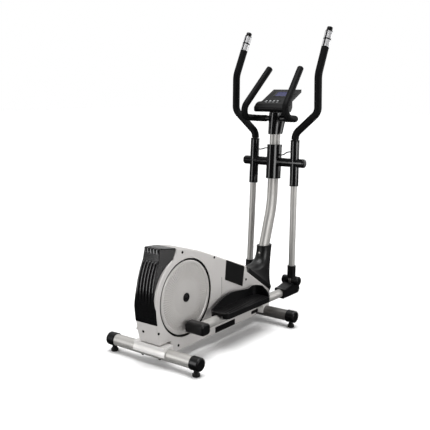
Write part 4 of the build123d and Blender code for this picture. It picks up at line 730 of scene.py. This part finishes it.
def makeShellTrim():
    look = shellTrim
    for name, sign in (("right", -1), ("left", 1)):
        place = Matrix.Translation((0.0, sign * look["face"], 0.0)) @ Matrix.Rotation(math.pi / 2, 4, "X")
        out = -sign  # the plate's z points to the right side of the machine
        bm = bmesh.new()
        plate(bm, look["film"], out * look["filmThick"], look["filmCorner"], place)
        settle(bm, name + "ShellFilm", blackFilmAndSlotShade, "frame")
        bm = bmesh.new()
        centre, long, high = boxAt(*look["vent"])
        framedOpening(bm, place @ centre, long, high, look["ventCorner"], out)
        for number in range(look["slats"]):
            rise = (number - (look["slats"] - 1) / 2) * (high - 2 * look["band"]) / look["slats"]
            slat = centre @ Matrix.Translation((0.0, rise, 0.0))
            plate(bm, rectangle(long - 2 * look["slatInset"], look["slatWide"]), out * look["slatThick"], 0.0,
                  place @ slat)
        centre, long, high = boxAt(*look["slot"])
        framedOpening(bm, place @ centre, long, high, look["slotCorner"], out)
        settle(bm, name + "ShellVents", matteBlackAndShade, "frame")
        # painted shade: a thin dark grey strip stands for the shade in the shell's moulded line
        bm = bmesh.new()
        centre, long, high = boxAt(*look["line"])
        plate(bm, rectangle(long, high), out * look["lineThick"], look["lineCorner"], place @ centre)
        settle(bm, name + "ShellLineShade", greySheenAndShade, "frame")


makeShellTrim()

# Screw heads with a socket, ten in the shells and one at the back
shellScrews = {
    "places": ((143.0, 533.0), (397.0, 458.0), (-36.0, 172.0), (107.0, 72.0), (684.0, 277.0)),
    "rear": (26.0, 166.0), "face": 68.0, "steps": 20,
    "head": ((0.0, -1.0), (6.8, -1.0), (7.0, 0.8), (6.2, 1.9), (4.6, 2.5), (3.2, 2.6), (3.0, 1.2), (0.0, 1.1)),
}


def makeShellScrews():
    look = shellScrews
    bm = bmesh.new()
    lift = Matrix.Translation((0.0, 0.0, look["face"]))
    for x, z in look["places"]:
        for sign in (-1, 1):
            turn(bm, look["head"], acrossAt(x, z, sign) @ lift, look["steps"])
    y, z = look["rear"]
    backwards = Matrix.Translation((rearArc(z), y, z)) @ Matrix.Rotation(-math.pi / 2, 4, "Y")
    turn(bm, look["head"], backwards, look["steps"])
    settle(bm, "shellScrewHeads", darkScrew, "frame", ("shell_screws",))


makeShellScrews()
print("housing dressed")


# Bent tube: rounded corners on a path of straight runs, closed at both ends
tubeSmooth = 8
endAngle = 1.2  # in radians: where the tube turns into its end


def bentTube(points, bends, radius, endRound):
    data = bpy.data.curves.new("bentTube", "CURVE")
    data.dimensions = "3D"
    data.bevel_depth = radius
    data.bevel_resolution = tubeSmooth
    data.resolution_u = curveSteps
    data.use_fill_caps = True
    knots = [points[0]]
    reaches = [0.0]
    for before, here, after, bend in zip(points, points[1:], points[2:], bends):
        back = (before - here).normalized()
        ahead = (after - here).normalized()
        turned = math.pi - back.angle(ahead)
        cut = bend * math.tan(turned / 2)
        knots += [here + back * cut, here + ahead * cut]
        reaches += [bend * 4 / 3 * math.tan(turned / 4)] * 2
    knots.append(points[-1])
    reaches.append(0.0)
    spline = data.splines.new("BEZIER")
    spline.bezier_points.add(len(knots) - 1)
    runs = [b - a for a, b in zip(knots, knots[1:])]
    corners = [None] + [c for corner in points[1:-1] for c in (corner, corner)] + [None]
    for index, (knot, reach, corner) in enumerate(zip(knots, reaches, corners)):
        bead = spline.bezier_points[index]
        bead.co = knot
        bead.handle_left_type = bead.handle_right_type = "FREE"
        bead.handle_left = knot - (runs[index - 1] / 3 if index else Vector())
        bead.handle_right = knot + (runs[index] / 3 if index < len(runs) else Vector())
        if corner is not None:
            inner = knot + (corner - knot).normalized() * reach
            if index % 2:
                bead.handle_right = inner
            else:
                bead.handle_left = inner
    curve = bpy.data.objects.new("bentTube", data)
    bpy.context.scene.collection.objects.link(curve)
    bpy.context.view_layer.update()
    mesh = bpy.data.meshes.new_from_object(curve.evaluated_get(bpy.context.evaluated_depsgraph_get()))
    bpy.data.objects.remove(curve)
    bpy.data.curves.remove(data)
    bm = bmesh.new()
    bm.from_mesh(mesh)
    bpy.data.meshes.remove(mesh)
    bmesh.ops.remove_doubles(bm, verts=bm.verts, dist=weld)
    bmesh.ops.recalc_face_normals(bm, faces=bm.faces)
    rims = [e for e in bm.edges if len(e.link_faces) == 2 and e.calc_face_angle(0.0) > endAngle]
    roundOff(bm, rims, endRound, 4)
    return bm


# Swing arms stand at these tilts about the pivot, and pedal arms at these slopes at their joints
pivot = (1060.0, 890.0)
armSides = {
    "right": {"sign": -1, "tilt": -0.83, "joint": (1050.0483, 203.0721), "slope": -0.387},
    "left": {"sign": 1, "tilt": -3.4673, "joint": (1018.4507, 204.2576), "slope": -19.014},
}
armY = 138.0


def swingFrame(side):
    stand = armSides[side]
    place = (pivot[0], stand["sign"] * armY, pivot[1])
    return Matrix.Translation(place) @ Matrix.Rotation(-math.radians(stand["tilt"]), 4, "Y")


def pedalFrame(side):
    stand = armSides[side]
    joint = (stand["joint"][0], stand["sign"] * armY, stand["joint"][1])
    return Matrix.Translation(joint) @ Matrix.Rotation(-math.radians(stand["slope"]), 4, "Y")


# Moving handles: painted tube, foam cover and a capped tip
movingHandles = {
    "corners": ((0.0, 0.0, 110.0), (0.0, 0.0, 165.0), (-6.0, 143.0, 288.0), (-16.0, 143.0, 492.0),
                (100.0, 143.0, 752.0)),
    "bends": (55.0, 60.0, 110.0), "tubeRadius": 16.0, "tubeIn": 5.0, "tubeRound": 0.5,
    "foamRadius": 21.0, "foamFoot": 133.0, "foamRound": 4.0, "tip": 22.0,
    "cap": ((0.0, -24.0), (16.4, -24.0), (16.4, -4.5), (15.6, -2.2), (13.8, -0.8), (11.0, -0.4), (9.6, -1.4),
            (0.0, -1.4)),
}


def makeHandles():
    look = movingHandles
    for side, stand in armSides.items():
        corners = [swingFrame(side) @ Vector((x, stand["sign"] * y, z)) for x, y, z in look["corners"]]
        lean = (corners[4] - corners[3]).normalized()
        rise = (corners[1] - corners[0]).normalized()
        foamFoot = corners[0] + rise * (look["foamFoot"] - look["corners"][0][2])
        foamTop = corners[4] - lean * look["tip"]
        tube = bentTube([corners[0], foamFoot + rise * look["tubeIn"]], (), look["tubeRadius"], look["tubeRound"])
        settle(tube, side + "HandleTube", blackPaint, side + "_swing", (side + "_handle",))
        foam = bentTube([foamFoot, *corners[1:4], foamTop], look["bends"], look["foamRadius"], look["foamRound"])
        grip = settle(foam, side + "HandleFoam", gripFoam, side + "_swing")
        bm = bmesh.new()
        upright = lean.to_track_quat("Z", "Y").to_matrix().to_4x4()
        turn(bm, look["cap"], Matrix.Translation(corners[4]) @ upright)
        settle(bm, side + "HandleTip", glossBlack, side + "_swing")


makeHandles()

# Fixed grips: foam from near the mast round both bends to the prong tips
fixedGrips = {
    "points": ((1160.0, 104.0, 1420.0), (895.0, 143.0, 1152.0), (1073.4, 143.0, 1138.0), (1073.4, 62.0, 1138.0)),
    "bends": (48.0, 40.0), "radius": 19.0, "capThick": 5.0, "endRound": 4.0,
}


def makeFixedGrips():
    look = fixedGrips
    for side, stand in armSides.items():
        points = [Vector((x, stand["sign"] * y, z)) for x, y, z in look["points"]]
        points[0] += (points[0] - points[1]).normalized() * look["capThick"]
        foam = bentTube(points, look["bends"], look["radius"], look["endRound"])
        stands = ("fixed_grips",) if side == "right" else ()
        grip = settle(foam, side + "FixedGrip", gripFoam, "frame", stands)


makeFixedGrips()
print("grips and handles dressed")

# Collars, hub caps and pin caps on the swing arms
swingTrim = {
    "collar": ((20.0, 121.0), (25.2, 121.0), (25.5, 122.0), (25.5, 127.5), (24.0, 130.4), (16.6, 131.6)),
    "lowerCollar": ((18.4, -132.0), (24.6, -132.0), (25.5, -130.8), (25.5, -125.0), (25.2, -124.0), (20.0, -124.0)),
    "hubCap": ((0.0, 204.0), (15.0, 204.0), (15.0, 206.0), (14.0, 207.2), (7.0, 207.4), (6.4, 206.2), (0.0, 206.2)),
    "pinCap": ((0.0, 53.0), (17.0, 53.0), (17.0, 55.0), (15.8, 56.2), (8.0, 56.4), (7.4, 55.2), (0.0, 55.2)),
    "socketRing": ((18.6, 80.0), (24.7, 80.0), (25.1, 81.0), (25.1, 85.4), (24.0, 87.0), (18.4, 87.6)),
    "reach": 687.0,
}


def makeSwingTrim():
    look = swingTrim
    for side, stand in armSides.items():
        sign = stand["sign"]
        bm = bmesh.new()
        turn(bm, look["collar"], swingFrame(side))
        turn(bm, look["lowerCollar"], swingFrame(side))
        turn(bm, look["hubCap"], acrossAt(*pivot, sign))
        foot = swingFrame(side) @ Matrix.Translation((0.0, 0.0, -look["reach"]))
        turn(bm, look["socketRing"], foot)
        for way in (-1, 1):
            turn(bm, look["pinCap"], foot @ Matrix.Rotation(-way * math.pi / 2, 4, "X"))
        settle(bm, side + "SwingTrim", satinBlack, side + "_swing")


makeSwingTrim()

# Pedal tread: low chevron bars moulded on the tray's floor
pedalTread = {
    "floor": -17.7, "centreOut": 6.5, "first": -694.0, "last": -345.0, "bars": 19,
    "half": 44.0, "width": 7.0, "peak": 14.0, "height": 1.6, "edge": 0.5,
}


def makePedalTread():
    look = pedalTread
    chevron = ((0.0, -look["half"]), (look["width"], -look["half"]), (look["width"] + look["peak"], 0.0),
               (look["width"], look["half"]), (0.0, look["half"]), (look["peak"], 0.0))
    for side, stand in armSides.items():
        bm = bmesh.new()
        for number in range(look["bars"]):
            along = look["first"] + number * (look["last"] - look["first"]) / (look["bars"] - 1)
            place = Matrix.Translation((along, stand["sign"] * look["centreOut"], look["floor"]))
            plate(bm, chevron, look["height"], 0.0, pedalFrame(side) @ place, rim=look["edge"])
        settle(bm, side + "PedalTread", matteBlackAndShade, side + "_pedal")


makePedalTread()

# Stabiliser caps: a moulded ring where each cap meets its tube and one near its end
capRings = {
    "axes": (0.0, 843.0), "height": 62.0, "steps": 64,
    "rings": (((33.0, 246.0), (34.2, 246.4), (34.2, 249.4), (33.0, 249.8)),
              ((33.0, 270.0), (34.0, 270.3), (34.0, 272.2), (33.0, 272.5))),
}


def makeCapRings():
    bm = bmesh.new()
    for x in capRings["axes"]:
        for sign in (-1, 1):
            for ring in capRings["rings"]:
                turn(bm, ring, acrossAt(x, capRings["height"], sign), capRings["steps"])
    settle(bm, "stabiliserCapRings", satinBlack, "frame")


makeCapRings()
print("arms, pedals and feet dressed")

# Console: bezel, key surrounds, label bars, a black plate of painted shade for the side slot, and display segments,
# drawn on the tilted face. A place on it is given up the face and across; frames, bars and plates by length, width,
# thickness, corner and band.
consoleFace = {
    "low": (1040.0, 1222.0), "high": (1195.0, 1302.0),
    "lens": (117.0, 0.0, 50.0, 84.0), "lensFrame": (16.0, 18.0, 1.6, 7.0, 7.6, 0.6),
    "keys": (62.0, 37.0, 12.0, -13.0), "keyS": 34.0, "keyMiddle": 24.5, "keyFrame": (20.0, 118.0, 0.9, 8.0, 2.2),
    "keyBar": (12.5, 3.6, 14.0, 0.3, 1.2),
    "oval": (122.0, -62.0), "ovalFrame": (22.0, 34.0, 1.1, 9.0, 3.2), "ovalBar": (15.0, 2.0, 18.0, 0.3, 0.8),
    "slot": (40.0, -84.0), "slotShadePlate": (22.0, 15.0, 0.5, 6.5),
    "segment": (9.0, 12.0, 0.15, 1.0, 1.6), "segmentRise": 11.0, "segmentPlaces": (-28.5, -9.5, 9.5, 28.5),
}


def faceFrame():
    low = Vector((consoleFace["low"][0], 0.0, consoleFace["low"][1]))
    up = (Vector((consoleFace["high"][0], 0.0, consoleFace["high"][1])) - low).normalized()
    across = Vector((0.0, 1.0, 0.0))
    columns = Matrix((up, across, up.cross(across))).transposed().to_4x4()
    return Matrix.Translation(low) @ columns


def onFace(s, y):
    return faceFrame() @ Matrix.Translation((s, y, 0.0))


def makeConsoleTrim():
    look = consoleFace
    s, y, tall, wide = look["lens"]
    bm = bmesh.new()
    moreTall, moreWide, thick, corner, band, rim = look["lensFrame"]
    plate(bm, rectangle(tall + moreTall, wide + moreWide), thick, corner, onFace(s, y), band, rim)
    long, across, thick, corner, band = look["keyFrame"]
    plate(bm, rectangle(long, across), thick, corner, onFace(look["keyS"], look["keyMiddle"]), band)
    long, across, thick, corner, band = look["ovalFrame"]
    plate(bm, rectangle(long, across), thick, corner, onFace(*look["oval"]), band)
    settle(bm, "consoleBezels", glossBlack, "frame")
    # painted shade: a flat black film plate where the slot's opening is dark
    bm = bmesh.new()
    long, across, thick, corner = look["slotShadePlate"]
    plate(bm, rectangle(long, across), thick, corner, onFace(*look["slot"]))
    settle(bm, "consoleSlotShade", blackFilmAndSlotShade, "frame")
    bm = bmesh.new()
    below, long, across, thick, corner = look["keyBar"]
    for key in look["keys"]:
        plate(bm, rectangle(long, across), thick, corner, onFace(look["keyS"] - below, key))
    below, long, across, thick, corner = look["ovalBar"]
    plate(bm, rectangle(long, across), thick, corner, onFace(look["oval"][0] - below, look["oval"][1]))
    settle(bm, "consoleLabelBars", keyGrey, "frame")
    bm = bmesh.new()
    long, across, thick, corner, band = look["segment"]
    for row in (-1, 1):
        for column in look["segmentPlaces"]:
            place = onFace(s + row * look["segmentRise"], y + column)
            plate(bm, rectangle(long, across), thick, corner, place, band)
    settle(bm, "displaySegments", segmentInk, "frame")


makeConsoleTrim()
print("console dressed")
